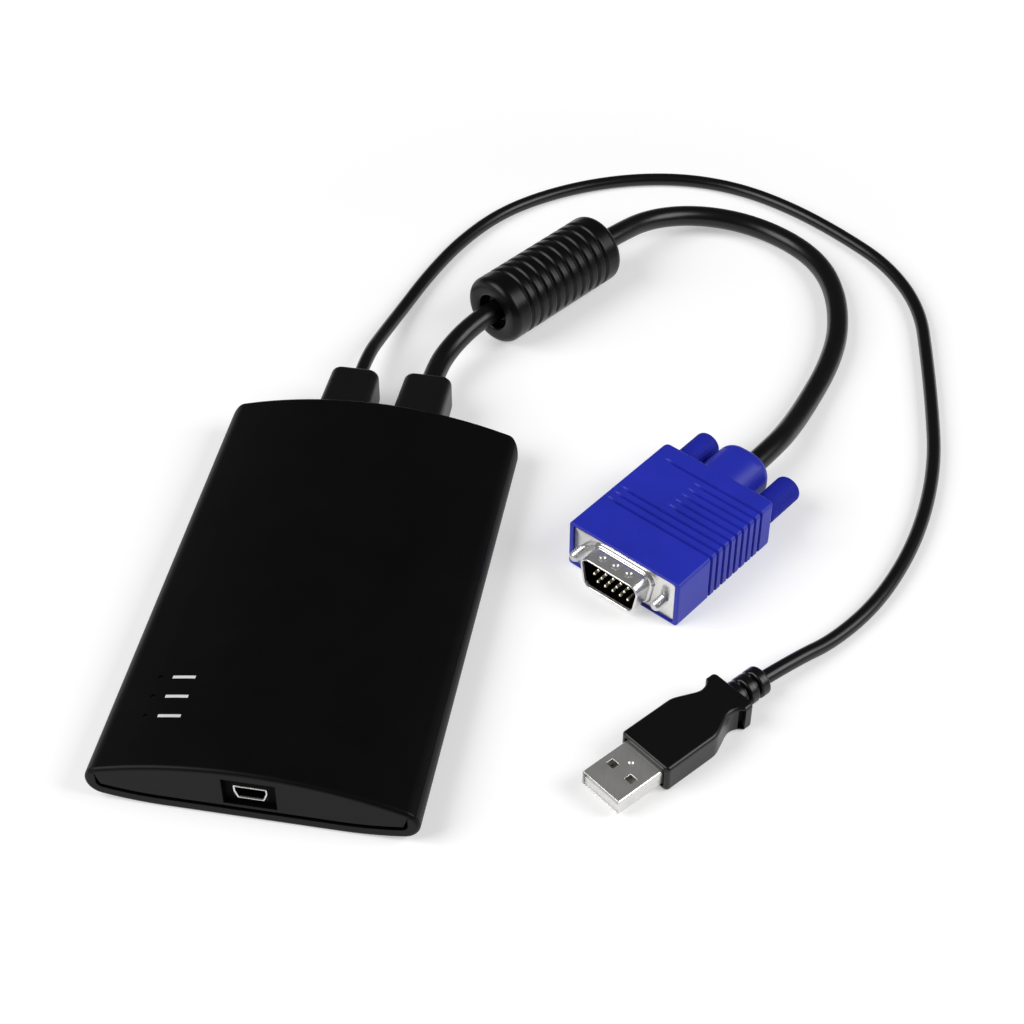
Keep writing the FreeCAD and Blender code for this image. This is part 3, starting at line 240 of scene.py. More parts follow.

# %% [markdown]
# ## The two leads
# A lead is one length of round jacket that springs out of its boot, comes down to the table and runs in a
# loose curve to its plug. A tube could be swept along the CAD route, but its arcs and straights look like
# bent wire. A NURBS spline with the route's corners as its control points bends evenly everywhere. A few
# points are moved, by less than 2 mm, to follow the photograph. The thick lead is held straight by
# its bead, so two more points lie on that stretch.

# %% Leads
USB_ROUTE = [
    (-8.8, 77.5, 7.2), (-8.8, 88.5, 7.2), (-7.4, 101.5, 4.6), (-5.2, 115.5, 2.4), (-1.4, 132.5, 1.85),
    (4.2, 149.2, 1.85), (12.6, 164.6, 1.85), (23.5, 175.6, 1.85), (37.0, 184.4, 1.85), (51.8, 190.2, 1.85),
    (67.0, 192.3, 1.85), (82.5, 190.0, 1.85), (97.8, 183.0, 1.85), (112.8, 172.6, 1.85),
    (126.9, 160.2, 1.85), (136.5, 142.2, 1.85), (139.3, 120.0, 1.85), (141.4, 99.6, 1.85),
    (142.8, 80.0, 1.85), (141.3, 60.5, 1.85), (137.4, 42.8, 1.85), (130.6, 25.5, 1.85), (121.5, 12.1, 1.85),
    (113.4, 3.4, 3.6), (105.9, -4.7, 3.65),
]
VGA_ROUTE = [
    (10.5, 77.5, 7.2), (10.5, 86.8, 7.2), (12.9, 95.7, 8.1), (17.5, 104.21, 9.75), (23.04, 112.29, 9.75),
    (41.48, 139.18, 9.75), (49.4, 150.73, 9.75), (57.2, 162.2, 7.9), (69.2, 169.5, 5.8), (83.1, 171.1, 4.1),
    (96.5, 166.8, 2.95), (107.0, 157.3, 2.95), (112.9, 143.8, 2.95), (114.9, 126.7, 2.95),
    (113.2, 111.9, 2.95), (109.4, 97.4, 3.1), (105.7, 84.2, 4.6), (101.9, 73.1, 6.6), (96.0, 62.9, 6.7),
]


def lay_lead(name, route, radius):
    """A round jacket along a NURBS spline of order 3 whose control points are the route's corners."""
    curve = bpy.data.curves.new(name, "CURVE")
    curve.dimensions = "3D"
    curve.bevel_depth = radius * MM
    curve.bevel_resolution = 7
    curve.resolution_u = 14
    curve.use_fill_caps = True
    spline = curve.splines.new("NURBS")
    spline.points.add(len(route) - 1)
    weighted = np.column_stack([np.array(route) * MM, np.ones(len(route))])
    spline.points.foreach_set("co", weighted.ravel())
    spline.order_u = 3
    spline.use_endpoint_u = True
    curve.materials.append(JACKET)
    lead = bpy.data.objects.new(name, curve)
    bpy.context.scene.collection.objects.link(lead)
    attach(lead, "adapter")
    print(name, "control points", len(route))
    return lead


usb_lead = lay_lead("usb_lead", USB_ROUTE, 1.8)
vga_lead = lay_lead("vga_lead", VGA_ROUTE, 2.9)
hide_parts("usb_cable")
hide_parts("vga_cable")

# %% [markdown]
# ## Carried-over CAD pieces
# The two shells of the case, its light pipes, the pins, contacts and blocks of the plugs, and all that is
# inside keep their CAD shapes, because those are hard, plain forms that the solids already give. Each node
# takes the finish of its slot in the record.

# %% Carried-over pieces
for row in frame["record"]["subparts"]:
    node = frame["nodes"][row["node"]]
    node.data.materials.clear()
    node.data.materials.append(SLOT_FINISH[row["material_slot"]])

# %% [markdown]
# ## Rings and skins
# Every moulded or pressed piece here can be told as sections along a line: a boot is a row of rounded
# rectangles, a bead is a row of circles. Box modelling would need many hand-placed loops, so each piece is
# a function instead: a ring of points for each place along its axis, worked out as one array. The first
# helpers say where an edge rounds off and what a mask is, the next give rings and set them up, and the
# last ones close them into a skin.

# %% Edges and masks
def edge_round(distance, radius):
    """How far a rounded edge has drawn in at a distance from its end: a quarter circle, then nothing."""
    short = np.clip(radius - np.asarray(distance, float), 0.0, radius)
    return radius - np.sqrt(radius**2 - short**2)


def edge_steps(radius, count):
    """Distances from an end for the rings of a rounded edge: even steps round its quarter circle."""
    return radius * (1 - np.sin(np.linspace(0, np.pi / 2, count)))


def between(value, low, high, soft):
    """A mask that is 1 from low to high and falls to 0 over a soft edge, as a smooth step does."""
    rise = np.clip((value - low) / soft + 0.5, 0.0, 1.0)
    fall = np.clip((high - value) / soft + 0.5, 0.0, 1.0)
    return rise**2 * (3 - 2 * rise) * fall**2 * (3 - 2 * fall)


print("a 2 mm edge has rings at", np.round(edge_steps(2.0, 5), 2), "mm from its end")

# %% Rings
def outline(centres, spans, radius, sides, corner=7):
    """Closed rings of (x, z): an arc about each centre, then even steps along the straight to the next arc.
    Also gives the outward direction at each point, which all rings share."""
    centres = np.asarray(centres, float)
    radius = np.broadcast_to(np.asarray(radius, float), centres.shape[1])
    angles = np.radians(np.linspace(*np.transpose(spans), corner + 1)).T
    ways = np.stack([np.cos(angles), np.sin(angles)], axis=-1)
    arcs = centres[:, :, None] + radius[None, :, None, None] * ways[:, None]
    points, outward = [], []
    for arc, after, way, steps in zip(arcs, np.roll(arcs, -1, axis=0), ways, sides):
        share = np.linspace(0, 1, steps + 2)[1:-1, None]
        points += [arc, arc[:, -1:] * (1 - share) + after[:, :1] * share]
        outward += [way, np.repeat(way[-1:], steps, axis=0)]
    return np.concatenate(points, axis=1), np.concatenate(outward)


def rounded(half_x, half_z, radius, sides=(24, 10, 24, 10), corner=7):
    """Rings round rectangles with round corners, one for each pair of half sizes."""
    half_x, half_z, radius = np.broadcast_arrays(np.atleast_1d(half_x).astype(float), half_z, radius)
    x, z = half_x - radius, half_z - radius
    centres = [np.stack(pair, axis=-1) for pair in ((x, z), (-x, z), (-x, -z), (x, -z))]
    return outline(centres, [(0, 90), (90, 180), (180, 270), (270, 360)], radius, sides, corner)


def circles(radius, count):
    """Rings of (x, z) about the axis, from a radius for each place along it and each angle round it."""
    turn = np.linspace(0, 2 * np.pi, count, endpoint=False)
    return np.stack([radius * np.cos(turn), radius * np.sin(turn)], axis=-1)


def along_y(rings, along, x=0.0, z=0.0):
    """Rings of (x, z) set up one behind the other along Y, about an axis at (x, z)."""
    along, z = (np.broadcast_to(item, len(rings))[:, None] for item in (along, z))
    across = x + rings[..., 0]
    return np.stack([across, along + 0 * across, z + rings[..., 1]], axis=-1)


def posed(points, pose):
    """Points of a plug's own frame set down on the table: turned about the upright, then moved."""
    x, y, turn = pose
    cos, sin = math.cos(math.radians(turn)), math.sin(math.radians(turn))
    return points @ np.array([[cos, -sin, 0], [sin, cos, 0], [0, 0, 1]]) + (x, y, 0)


# Where each piece on a lead lies (x, y, turn), and how high its axis is over the table.
VIDEO_POSE, VIDEO_AXIS = (70.2, 20.6, 30.7), 6.95
USB_POSE, USB_AXIS = (74.3, -44.1, 38.5), 3.85
BEAD_POSE, BEAD_AXIS = (33.22, 127.14, 34.44), 9.75
print("poses", VIDEO_POSE, USB_POSE, BEAD_POSE)

# %% Skins
def strips(index, joined):
    """Quads between neighbouring rings of point numbers; joined rings also close from last to first."""
    near, far = (index, np.roll(index, -1, axis=0)) if joined else (index[:-1], index[1:])
    corners = [near, far, np.roll(far, -1, axis=1), np.roll(near, -1, axis=1)]
    return np.stack(corners, axis=-1).reshape(-1, 4)


def finish_piece(name, points, faces, finish, body, sharp):
    """A mesh object from points in millimetres, smooth but for edges that turn by more than sharp degrees."""
    mesh = bpy.data.meshes.new(name)
    mesh.from_pydata((points * MM).tolist(), [], faces)
    mesh.materials.append(finish)
    mesh.shade_smooth()
    mesh.set_sharp_from_angle(angle=math.radians(sharp))
    piece = bpy.data.objects.new(name, mesh)
    bpy.context.scene.collection.objects.link(piece)
    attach(piece, body)
    print(name, len(mesh.polygons), "faces")
    return piece


def make_piece(name, shells, finish, body="adapter", sharp=40):
    """A piece of closed shells, each a (rings, joined) pair; rings left open get a polygon at each end."""
    first, faces = 0, []
    for rings, joined in shells:
        index = first + np.arange(rings.shape[0] * rings.shape[1]).reshape(rings.shape[:2])
        faces += strips(index, joined).tolist()
        faces += [] if joined else [index[0].tolist(), index[-1].tolist()]
        first += index.size
    points = np.concatenate([rings.reshape(-1, 3) for rings, joined in shells])
    piece = finish_piece(name, points, faces, finish, body, sharp)
    work = bmesh.new()
    work.from_mesh(piece.data)
    bmesh.ops.recalc_face_normals(work, faces=work.faces)
    work.to_mesh(piece.data)
    work.free()
    return piece


print("skin tools ready")

# %% [markdown]
# ## Boots
# Where a lead leaves the case, a soft rubber block grips it so that it can't be bent sharply. The block is
# a tapered rounded box with a hook behind the rear panel. A bevelled cube would do from afar; a row of
# rounded rectangles also gives the taper, and draws in more across the tip than over it, as the real one
# does.

# %% Boots
def boot_rings(x, length):
    """Rounded rectangles: hook, neck, then a body whose half sizes fall evenly and round off at the tip."""
    rear, axis, tip_side, tip_top = 62.0, 7.2, 1.9, 1.4
    out = np.concatenate([np.linspace(0, 13.4, 16), length - edge_steps(tip_side, 10)])
    half_x = 6.6 - 0.3 * out / length - edge_round(length - out, tip_side)
    half_z = 6.1 - 0.5 * out / length - edge_round(length - out, tip_top)
    along = np.concatenate([[57.6, 59.6, 59.6, rear], rear + out])
    half_x = np.concatenate([[5.7, 5.7, 4.5, 4.5], half_x])
    half_z = np.concatenate([[4.6, 4.6, 4.0, 4.0], half_z])
    middle = np.concatenate([[7.3, 7.3, 6.7, 6.7], np.full(len(out), axis)])
    corner = np.concatenate([np.full(4, 0.6), np.full(len(out), 2.3)])
    rings, _ = rounded(half_x, half_z, corner)
    return along_y(rings, along, x, middle)


usb_boot = make_piece("usb_lead_boot", [(boot_rings(-8.8, 15.7), False)], BOOT)
vga_boot = make_piece("vga_lead_boot", [(boot_rings(10.5, 16.4), False)], BOOT)
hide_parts("usb_boot")
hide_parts("vga_boot")

# %% [markdown]
# ## Ferrite bead
# A ferrite sleeve on the thick lead stops radio noise, and a ribbed jacket is moulded over it. The jacket is
# round, so it is turned: a profile of radius along the axis, carried round. Its ribs come from a raised
# cosine to the fifth power, which gives broad round lands and narrow grooves, and a mask round the axis
# leaves a smooth band along one side. Each end face is sunk round the lead.

# %% Bead
def bead_profile():
    """Closed (radius, along): bore, collar and face of one end, the ribbed outside, and the other end."""
    half, radius, soft = 21.15, 9.745, 2.2
    along = np.linspace(-half, half, 381)
    outside = np.column_stack([radius - edge_round(half - np.abs(along), soft), along])
    face = np.array([
        [2.95, -5.0], [2.95, -4.6], [3.6, -4.4], [4.6, -4.1], [4.85, -3.6], [5.0, -0.6], [5.3, -0.12],
        [5.8, 0.0],
    ])
    left = np.column_stack([face[:, 0], -half - face[:, 1]])
    right = np.column_stack([face[::-1, 0], half + face[::-1, 1]])
    return np.concatenate([left, outside, right])


def bead_grooves(profile, count):
    """Depth at each place and angle: narrow grooves from a raised cosine, masked off in the smooth band."""
    last, pitch, depth, least_radius = 14.7, 3.2667, 0.6, 9.0
    along = profile[:, 1, None]
    angle = np.linspace(0, 360, count, endpoint=False)
    wave = (0.5 + 0.5 * np.cos(2 * np.pi * (along - last) / pitch)) ** 5
    ribbed = (np.abs(along) < last + pitch / 2) & (profile[:, 0, None] > least_radius)
    band = between(angle, 308.0, 340.0, 8.0) * between(along, -11.0, 11.0, 1.0)
    return depth * wave * ribbed * (1 - band)


profile, round_count = bead_profile(), 96
bead_radius = profile[:, 0, None] - bead_grooves(profile, round_count)
bead_rings = posed(along_y(circles(bead_radius, round_count), profile[:, 1], 0.0, BEAD_AXIS), BEAD_POSE)
bead = make_piece("bead_moulding", [(bead_rings, True)], BEAD, sharp=50)
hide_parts("ferrite_jacket")

# %% [markdown]
# ## Video plug's grip
# The blue grip is one vinyl moulding over the plug's metal front: a block with nine finger grooves, a smooth
# thumb patch on each broad face, and a round neck over the lead. Grooves could be cut by booleans, but then
# their edges stay razor sharp. Here each point of a rounded section is drawn inwards by a groove mask. A
# second mask, the patch, lets no groove through, and a third lets the grooves run out before they reach the
# left edges of the broad faces.

# %% Grip
def grip_rings():
    """Rounded rectangles along the plug, drawn in by the groove mask times one less each plain mask."""
    half_wide, half_thick, length, rim = 16.75, VIDEO_AXIS, 37.8, 0.4
    groove_half, groove_depth, sides, past_left = 0.42, 0.75, (70, 16, 70, 16), -20.0
    groove_y = 12.25 + 2.5 * np.arange(9)
    near = np.array([-0.68, -0.54, -0.46, -0.38, -0.3, -0.15, 0.0, 0.15, 0.3, 0.38, 0.46, 0.54, 0.68])
    front = [-rim, -rim + 0.05, -rim + 0.15, -rim + 0.3, 0.6, 2.0, 4.0, 6.0, 8.0, 10.0, 11.2]
    along = np.concatenate([front, (groove_y[:, None] + near).ravel(), length - edge_steps(1.8, 12)])
    half_x = half_wide - edge_round(along + rim, 0.3) - edge_round(length - along, 1.6)
    half_z = half_thick - edge_round(along + rim, 0.3) - edge_round(length - along, 0.9)
    rings, outward = rounded(half_x, half_z, 0.85, sides, 6)
    across, up, place = rings[..., 0], rings[..., 1], along[:, None]
    grooves = between(place, groove_y - groove_half, groove_y + groove_half, 0.2).sum(axis=1)[:, None]
    broad = between(np.abs(outward[:, 1]), 0.35, 2.0, 0.4)
    patch = between(across, past_left, -1.0, 4.6) * between(place, 18.2, 30.9, 0.5)
    run_out = np.interp(along, [12.0, 32.5], [-14.4, -12.0])[:, None]
    plain_edge = between(across, past_left, run_out, 4.2) * between(np.abs(up), 4.6, 9.0, 1.6)
    draw = groove_depth * grooves * (1 - patch * broad) * (1 - plain_edge)
    rings = rings - draw[..., None] * outward
    pocket, _ = rounded([15.5, 15.5], [6.35, 6.35], 0.8, sides, 6)
    return along_y(np.concatenate([pocket, rings]), np.concatenate([[1.0, -rim], along]), 0.0, half_thick)


def neck_rings():
    """Nearly round sections that draw in by a quarter circle at the end where the lead goes in."""
    end, soft = 49.9, 2.6
    out = np.concatenate([np.linspace(14.7, soft, 10), edge_steps(soft, 12)])
    draw = edge_round(out, soft)
    rings, _ = rounded(7.5 - draw, 6.9 - draw, 6.2 - draw, (6, 6, 6, 6), 12)
    return along_y(rings, end - out, 0.0, VIDEO_AXIS)


grip_shells = [(posed(rings, VIDEO_POSE), False) for rings in (grip_rings(), neck_rings())]
video_grip = make_piece("video_grip", grip_shells, BLUE)
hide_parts("vga_hood")

# %% [markdown]
# ## Video plug's metal front
# A flange and a D-shaped shroud are drawn from one sheet of steel and nickel plated. The shroud has a round
# shoulder at its root and three grip dimples in its broad side. It is one closed skin: sections go from the
# flange's edge in to the D, out along the shroud, over its lip and back inside. The dimples could be
# sculpted; a formula presses them into the outer rings at exact places. Bright walls would mirror the table
# into the shroud, whose inside is in shade and looks black, so a thin black sleeve of painted shade lines it.

# %% Metal front
SHROUD_SIDES = (70, 8, 70, 8)


def offsets(corners, spans, radius, sides, corner=7):
    """Rings about fixed corner centres, one for each radius: each is the last one grown or set in."""
    centres = np.repeat(np.array(corners)[:, None], len(radius), axis=1)
    return outline(centres, spans, radius, sides, corner)[0]


def dee(grow):
    """Rings round the D, grown or set in: arcs about four centres, the flanks leaning by 10 degrees."""
    corners = [(6.24, 2.25), (-6.24, 2.25), (-5.447, -2.25), (5.447, -2.25)]
    return offsets(corners, [(-10, 90), (90, 190), (190, 270), (270, 350)], 2.4 + grow, SHROUD_SIDES)


def dimple(rings, x, y, radius):
    """A round dent's share of its depth: one less the squared distance over the squared radius, then to
    the power of 1.5, so that its rim is soft."""
    apart = (rings[..., 0] - x) ** 2 + (rings[..., 1] - y) ** 2
    return np.clip(1 - apart / radius**2, 0, 1) ** 1.5


def front_rings():
    """Flange edge, flange face, shoulder, shroud with dimples, lip and inside, as one closed run of rings."""
    plate, _ = rounded([15.4, 15.4, 15.25], [6.25, 6.25, 6.1], 1.0, SHROUD_SIDES)
    shoulder = np.array([
        [1.15, 0.0], [0.95, -0.05], [0.8, -0.2], [0.72, -0.45], [0.6, -0.75], [0.4, -0.95], [0.15, -1.05],
        [0.03, -1.15], [0.0, -1.35],
    ])
    outer = np.column_stack([np.zeros(34), np.linspace(-1.5, -5.6, 34)])
    lip = np.array([
        [0.0, -5.75], [-0.06, -5.92], [-0.17, -5.99], [-0.33, -5.99], [-0.44, -5.92], [-0.5, -5.75],
        [-0.5, -3.0], [-0.5, -0.3], [-0.5, 1.0],
    ])
    run = np.concatenate([shoulder, outer, lip])
    along = np.concatenate([[1.0, 0.15, 0.0], run[:, 1]])
    rings = along_y(np.concatenate([plate, dee(run[:, 0])]), along)
    dent_y, dent_radius, dent_depth = -3.2, 1.15, 0.5
    upper_side = rings[..., 2] > 4.6
    dents = sum(dimple(rings, x, dent_y, dent_radius) for x in (-4.0, 0.0, 4.0))
    rings[..., 2] -= dent_depth * dents * upper_side
    return rings + (0, 0, VIDEO_AXIS)


def shroud_shade_sleeve():
    """A thin closed D-shaped sleeve of painted shade inside the shroud: out along one wall, back along the
    other.
    """
    run = np.array([[-0.52, -5.2], [-0.52, 0.2], [-0.66, 0.2], [-0.66, -5.2]])
    return along_y(dee(run[:, 0]), run[:, 1], 0.0, VIDEO_AXIS)


front_shell = [(posed(front_rings(), VIDEO_POSE), True)]
# The sleeve is painted shade inside the shroud.
shade_sleeve_shell = [(posed(shroud_shade_sleeve(), VIDEO_POSE), True)]
video_front = make_piece("video_front", front_shell, NICKEL, sharp=70)
video_shade_sleeve = make_piece("video_shade_sleeve", shade_sleeve_shell, PAINTED_SHADE)
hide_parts("vga_shell")

# %% [markdown]
# ## Jackscrews and knobs
# Two long screws hold the plug to its socket, each with a blue knob moulded on its end. They turn, so each
# pair rides on its own body. Plain cylinders would show no turning. The thread is a helix: the radius at a
# point depends on its place along the axis less its share of the pitch round the axis. The knobs have
# shallow flutes for the fingers.

# %% Screws
def screw_rings(x):
    """Turned rings: a thread, whose radius is a triangle wave of (y - pitch * angle), and a plain shank."""
    pitch, crest, depth, tip, count = 0.635, 1.42, 0.34, -4.3, 32
    thread_y = np.linspace(tip, -0.6, 48)
    angle = np.arange(count) / count
    wave = np.abs(((thread_y[:, None] / pitch - angle) % 1.0) * 2 - 1)
    taper = np.clip(0.85 + 1.1 * (thread_y - tip), 0.0, crest)[:, None]
    thread = np.minimum(crest - depth * wave, taper)
    shank = np.full((3, count), 1.15)
    along = np.concatenate([thread_y, [-0.5, 1.2, 45.9]])
    return along_y(circles(np.concatenate([thread, shank]), count), along, x, VIDEO_AXIS)


def knob_rings(x):
    """Turned rings with round ends; flutes are a cosine round the axis, masked to the knob's middle."""
    start, end, soft_start, soft_end, flute_count, count = 38.0, 50.5, 0.7, 0.9, 28, 112
    first, last = start + edge_steps(soft_start, 9)[::-1], end - edge_steps(soft_end, 9)
    along = np.concatenate([first, np.linspace(39.0, 49.2, 24), last])
    radius = 3.6 - edge_round(along - start, soft_start) - edge_round(end - along, soft_end)
    flutes = 0.5 + 0.5 * np.cos(flute_count * np.linspace(0, 2 * np.pi, count, endpoint=False))
    mask = between(along, 40.2, 48.8, 1.2)[:, None]
    return along_y(circles(radius[:, None] - 0.1 * mask * flutes, count), along, x, VIDEO_AXIS)


turning = []
for side, x in (("left", -12.5), ("right", 12.5)):
    screw = make_piece(f"{side}_jackscrew", [(posed(screw_rings(x), VIDEO_POSE), False)], STEEL,
                       f"{side}_screw", 60)
    knob = make_piece(f"{side}_screw_knob", [(posed(knob_rings(x), VIDEO_POSE), False)], KNOB_PAINTED_SHADE,
                      f"{side}_screw")
    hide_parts(f"{side}_thumbscrew")
    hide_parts(f"{side}_knob")
    turning += [screw, knob]

# %% [markdown]
# ## USB plug's grip
# The black grip is moulded round the plug's metal mouth. Seen from above it is straight, draws in to a
# waist, flares to two finger stops with an upright slot in each, and ends in a ringed strain relief. It
# could be box modelled, but a plan and a section tell it all: the plan is one curve of half widths along
# the plug, the section a rounded rectangle, and the slots are places where the section may not reach past
# a plane. The front is sunk round the mouth, so that a thin shadow parts the two.

# %% USB grip
def usb_grip_rings():
    """Rounded rectangles whose half width follows the plan, cut back to a plane in the two slots, after a
    run of smaller ones that sinks the front round the mouth."""
    start, end, sides = 13.2, 41.5, (20, 14, 20, 14)
    slot_start, slot_end, slot_plane = 37.69, 38.905, 4.85
    plan_y = [13.2, 27.6, 28.5, 29.5, 34.0, 34.9, 35.7, 36.8, 37.7, 38.4, 38.9, 41.5]
    plan_x = [7.5, 7.5, 7.42, 7.13, 5.12, 4.85, 4.75, 4.92, 5.31, 5.85, 6.45, 6.45]
    slot_y = [37.55, 37.68, 37.7, 37.71, 38.3, 38.89, 38.9, 38.92, 39.05, 39.4]
    round_in, round_out = start + edge_steps(1.3, 12)[::-1], end - edge_steps(1.0, 9)
    along = np.concatenate([round_in, np.linspace(15.4, 37.4, 56), slot_y, [40.0, 40.3], round_out])
    half_x = np.interp(along, plan_y, plan_x) - edge_round(along - start, 1.0) - edge_round(end - along, 1.0)
    half_z = USB_AXIS - edge_round(along - start, 0.65) - edge_round(end - along, 0.6)
    rings, outward = rounded(half_x, half_z, 0.95, sides, 7)
    in_slot = ((along > slot_start) & (along < slot_end))[:, None] & (np.abs(outward[:, 0]) > 0.99)
    across = rings[..., 0]
    rings[..., 0] = np.where(in_slot, np.sign(across) * np.minimum(np.abs(across), slot_plane), across)
    sunk, _ = rounded([6.03, 6.03, 6.35, 6.35], [2.28, 2.28, 2.95, 2.95], 0.7, sides, 7)
    sunk_y = [15.4, 14.6, 14.6, start]
    return along_y(np.concatenate([sunk, rings]), np.concatenate([sunk_y, along]), 0.0, USB_AXIS)


def relief_rings():
    """Turned rings: a collar and two lands with elliptical edges on a slimmer core. A mask round the axis
    makes the slots between them shallow along the upper left."""
    end, radius, axis, count = 50.5, 3.7, 3.72, 72
    along = np.linspace(41.0, end, 120)
    lands = np.array([[40.0, 43.4], [44.1, 46.9], [47.6, end]])
    inside = np.minimum(along[:, None] - lands[:, 0], lands[:, 1] - along[:, None]).max(axis=1)
    step = np.clip(inside / 0.6, 0.0, 1.0)
    sunk = 1 - np.sqrt(1 - (1 - step) ** 2)
    angle = np.linspace(0, 360, count, endpoint=False)
    web = 0.8 * between(angle, 105.0, 190.0, 25.0) * (along < end - 1.0)[:, None]
    return along_y(circles(radius - sunk[:, None] * (1 - web), count), along, 0.0, axis)


usb_shells = [(posed(rings, USB_POSE), False) for rings in (usb_grip_rings(), relief_rings())]
usb_grip = make_piece("usb_grip", usb_shells, PLUG, sharp=35)
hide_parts("usb_overmould")

# %% [markdown]
# ## USB plug's mouth
# The mouth is a strip of nickel-plated steel folded into a flat tube, with two latch windows in each broad
# side and a small dent behind the upper ones. A tube with boolean holes would leave messy edges; here the
# grid has lines along the window edges, and the quads inside them are left out. Solidify then gives the
# sheet its gauge, and a fine Bevel rounds its sheared edges, so that they catch a thin line of light.

# %% USB mouth
WINDOW_X, WINDOW_Y = (1.85, 3.95), (5.4, 7.3)


def mouth_section():
    """One ring (x, z) round the tube: four corner arcs, with chosen places along the two broad sides."""
    half_z, arc_x, arc_z, radius = 2.25, 5.3, 1.55, 0.7
    edges = np.array(WINDOW_X)
    across = np.unique(np.concatenate([-edges, edges, np.linspace(-1.2, 0.8, 15), [-5.0, -2.9, 2.9, 5.0]]))
    angles = np.radians(np.linspace(0, 90, 7))
    arc = radius * np.stack([np.cos(angles), np.sin(angles)], axis=-1)
    turn = np.array([[0.0, 1.0], [-1.0, 0.0]])
    corner = [arc @ np.linalg.matrix_power(turn, quarter) for quarter in range(4)]
    top = np.column_stack([across[::-1], np.full(len(across), half_z)])
    low = np.column_stack([across, np.full(len(across), -half_z)])
    return np.concatenate([
        corner[0] + (arc_x, arc_z), top, corner[1] + (-arc_x, arc_z), corner[2] + (-arc_x, -arc_z), low,
        corner[3] + (arc_x, -arc_z),
    ])


def mouth_grid():
    """The section repeated along Y, with the dent pressed into its upper side."""
    section = mouth_section()
    dent_y = np.linspace(8.4, 10.4, 15)
    along = np.unique(np.concatenate([[0.0, 1.5, 3.5, *WINDOW_Y, 6.35, 13.2, 18.75], dent_y]))
    rings = along_y(np.repeat(section[None], len(along), axis=0), along)
    dent_depth, upper_side = 0.4, rings[..., 2] > 2.2
    rings[..., 2] -= dent_depth * dimple(rings, -0.2, 9.4, 0.85) * upper_side
    return rings


mouth_rings = mouth_grid()
mouth_points = mouth_rings.reshape(-1, 3)
quads = strips(np.arange(len(mouth_points)).reshape(mouth_rings.shape[:2]), False)
quad_x, quad_y, _ = np.abs(mouth_points[quads].mean(axis=1)).T
in_window = (WINDOW_X[0] < quad_x) & (quad_x < WINDOW_X[1]) & (WINDOW_Y[0] < quad_y) & (quad_y < WINDOW_Y[1])
placed = posed(mouth_points + (0, 0, USB_AXIS), USB_POSE)
sheet = quads[~in_window].tolist()
usb_mouth = finish_piece("usb_mouth", placed, sheet, NICKEL, "adapter", 40)
gauge = usb_mouth.modifiers.new("gauge", "SOLIDIFY")
gauge.thickness = 0.32 * MM
gauge.offset = -1.0
gauge.use_even_offset = True
soft_edges = usb_mouth.modifiers.new("soft_edges", "BEVEL")
soft_edges.width = 0.08 * MM
soft_edges.segments = 2
soft_edges.limit_method = "ANGLE"
soft_edges.angle_limit = math.radians(50)
soft_edges.harden_normals = True
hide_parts("usb_plug_shell")

# %% [markdown]
# ## Socket's surround
# The small socket sits in a recess of the front panel, and the recess is in shade and looks black round it.
# It could just be left dark, but its walls mirror the white table. So a shallow black tray of painted shade
# lines it: one closed run of rounded rectangles, out along the walls and in to the edge of the socket.

# %% Surround
SOCKET_AXIS = 7.9


def shade_tray_rings():
    """Rounded rectangles: outer wall, back, socket's edge, back again and inner wall, as one closed run."""
    half_x = np.array([6.06, 6.06, 3.95, 3.95, 5.92, 5.92])
    half_z = np.array([3.96, 3.96, 2.1, 2.1, 3.82, 3.82])
    middle = np.array([8.7, 8.7, SOCKET_AXIS, SOCKET_AXIS, 8.7, 8.7])
    along = np.array([-61.9, -60.83, -60.83, -60.93, -60.93, -61.9])
    return along_y(rounded(half_x, half_z, 0.25, (8, 4, 8, 4), 4)[0], along, 0.0, middle)


# A black tray of painted shade in the socket's recess.
make_piece("socket_shade_tray", [(shade_tray_rings(), True)], PAINTED_SHADE)

# %% [markdown]
# ## Socket's mouth
# The socket itself is a folded steel tube with a flat roof, upright cheeks and two slanted flanks, and its
# lip is flared a little. It is the shroud's way again on a smaller outline: arcs about six fixed centres,
# grown or set in, go out over the lip and back. Its inside is in shade and looks black too, so a thin black
# sleeve of painted shade lines it.

# %% Mouth of the socket
def socket_rings(run):
    """Rings along a run of (grow, y) pairs round a six-sided mouth; its flanks lean as its centres do."""
    lean = math.degrees(math.atan2(0.7, 2.0))
    corners = [(3.55, 1.7), (-3.55, 1.7), (-3.55, 0.3), (-2.85, -1.7), (2.85, -1.7), (3.55, 0.3)]
    bends = [0, 90, 180, 180 + lean, 270, 360 - lean, 360]
    run = np.array(run)
    rings = offsets(corners, list(zip(bends, bends[1:])), 0.3 + run[:, 0], (8, 4, 6, 8, 6, 4), 4)
    return along_y(rings, run[:, 1], 0.0, SOCKET_AXIS)


LIP_RUN = [
    (-0.22, -52.0), (-0.22, -60.72), (0.0, -60.82), (0.0, -60.95), (-0.07, -61.04), (-0.2, -61.07),
    (-0.33, -61.04), (-0.42, -60.95), (-0.42, -52.0),
]
SHADE_SLEEVE_RUN = [(-0.44, -60.7), (-0.44, -54.4), (-0.54, -54.4), (-0.54, -60.7)]
socket_mouth = make_piece("socket_mouth", [(socket_rings(LIP_RUN), True)], NICKEL)
# A thin sleeve of painted shade inside the socket.
make_piece("socket_shade_sleeve", [(socket_rings(SHADE_SLEEVE_RUN), True)], PAINTED_SHADE)
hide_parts("mini_usb_shell")

# %% [markdown]
# ## Tips of the front panel
# The shadow gap round the front panel runs out to nothing at the panel's two ends. The CAD model's gap keeps
# its width there. The gap could be cut anew, but a small wedge in each end does it, flush with the panel: it
# closes the gap from the top down, and its side is a power of the height, so the gap ends in a point.

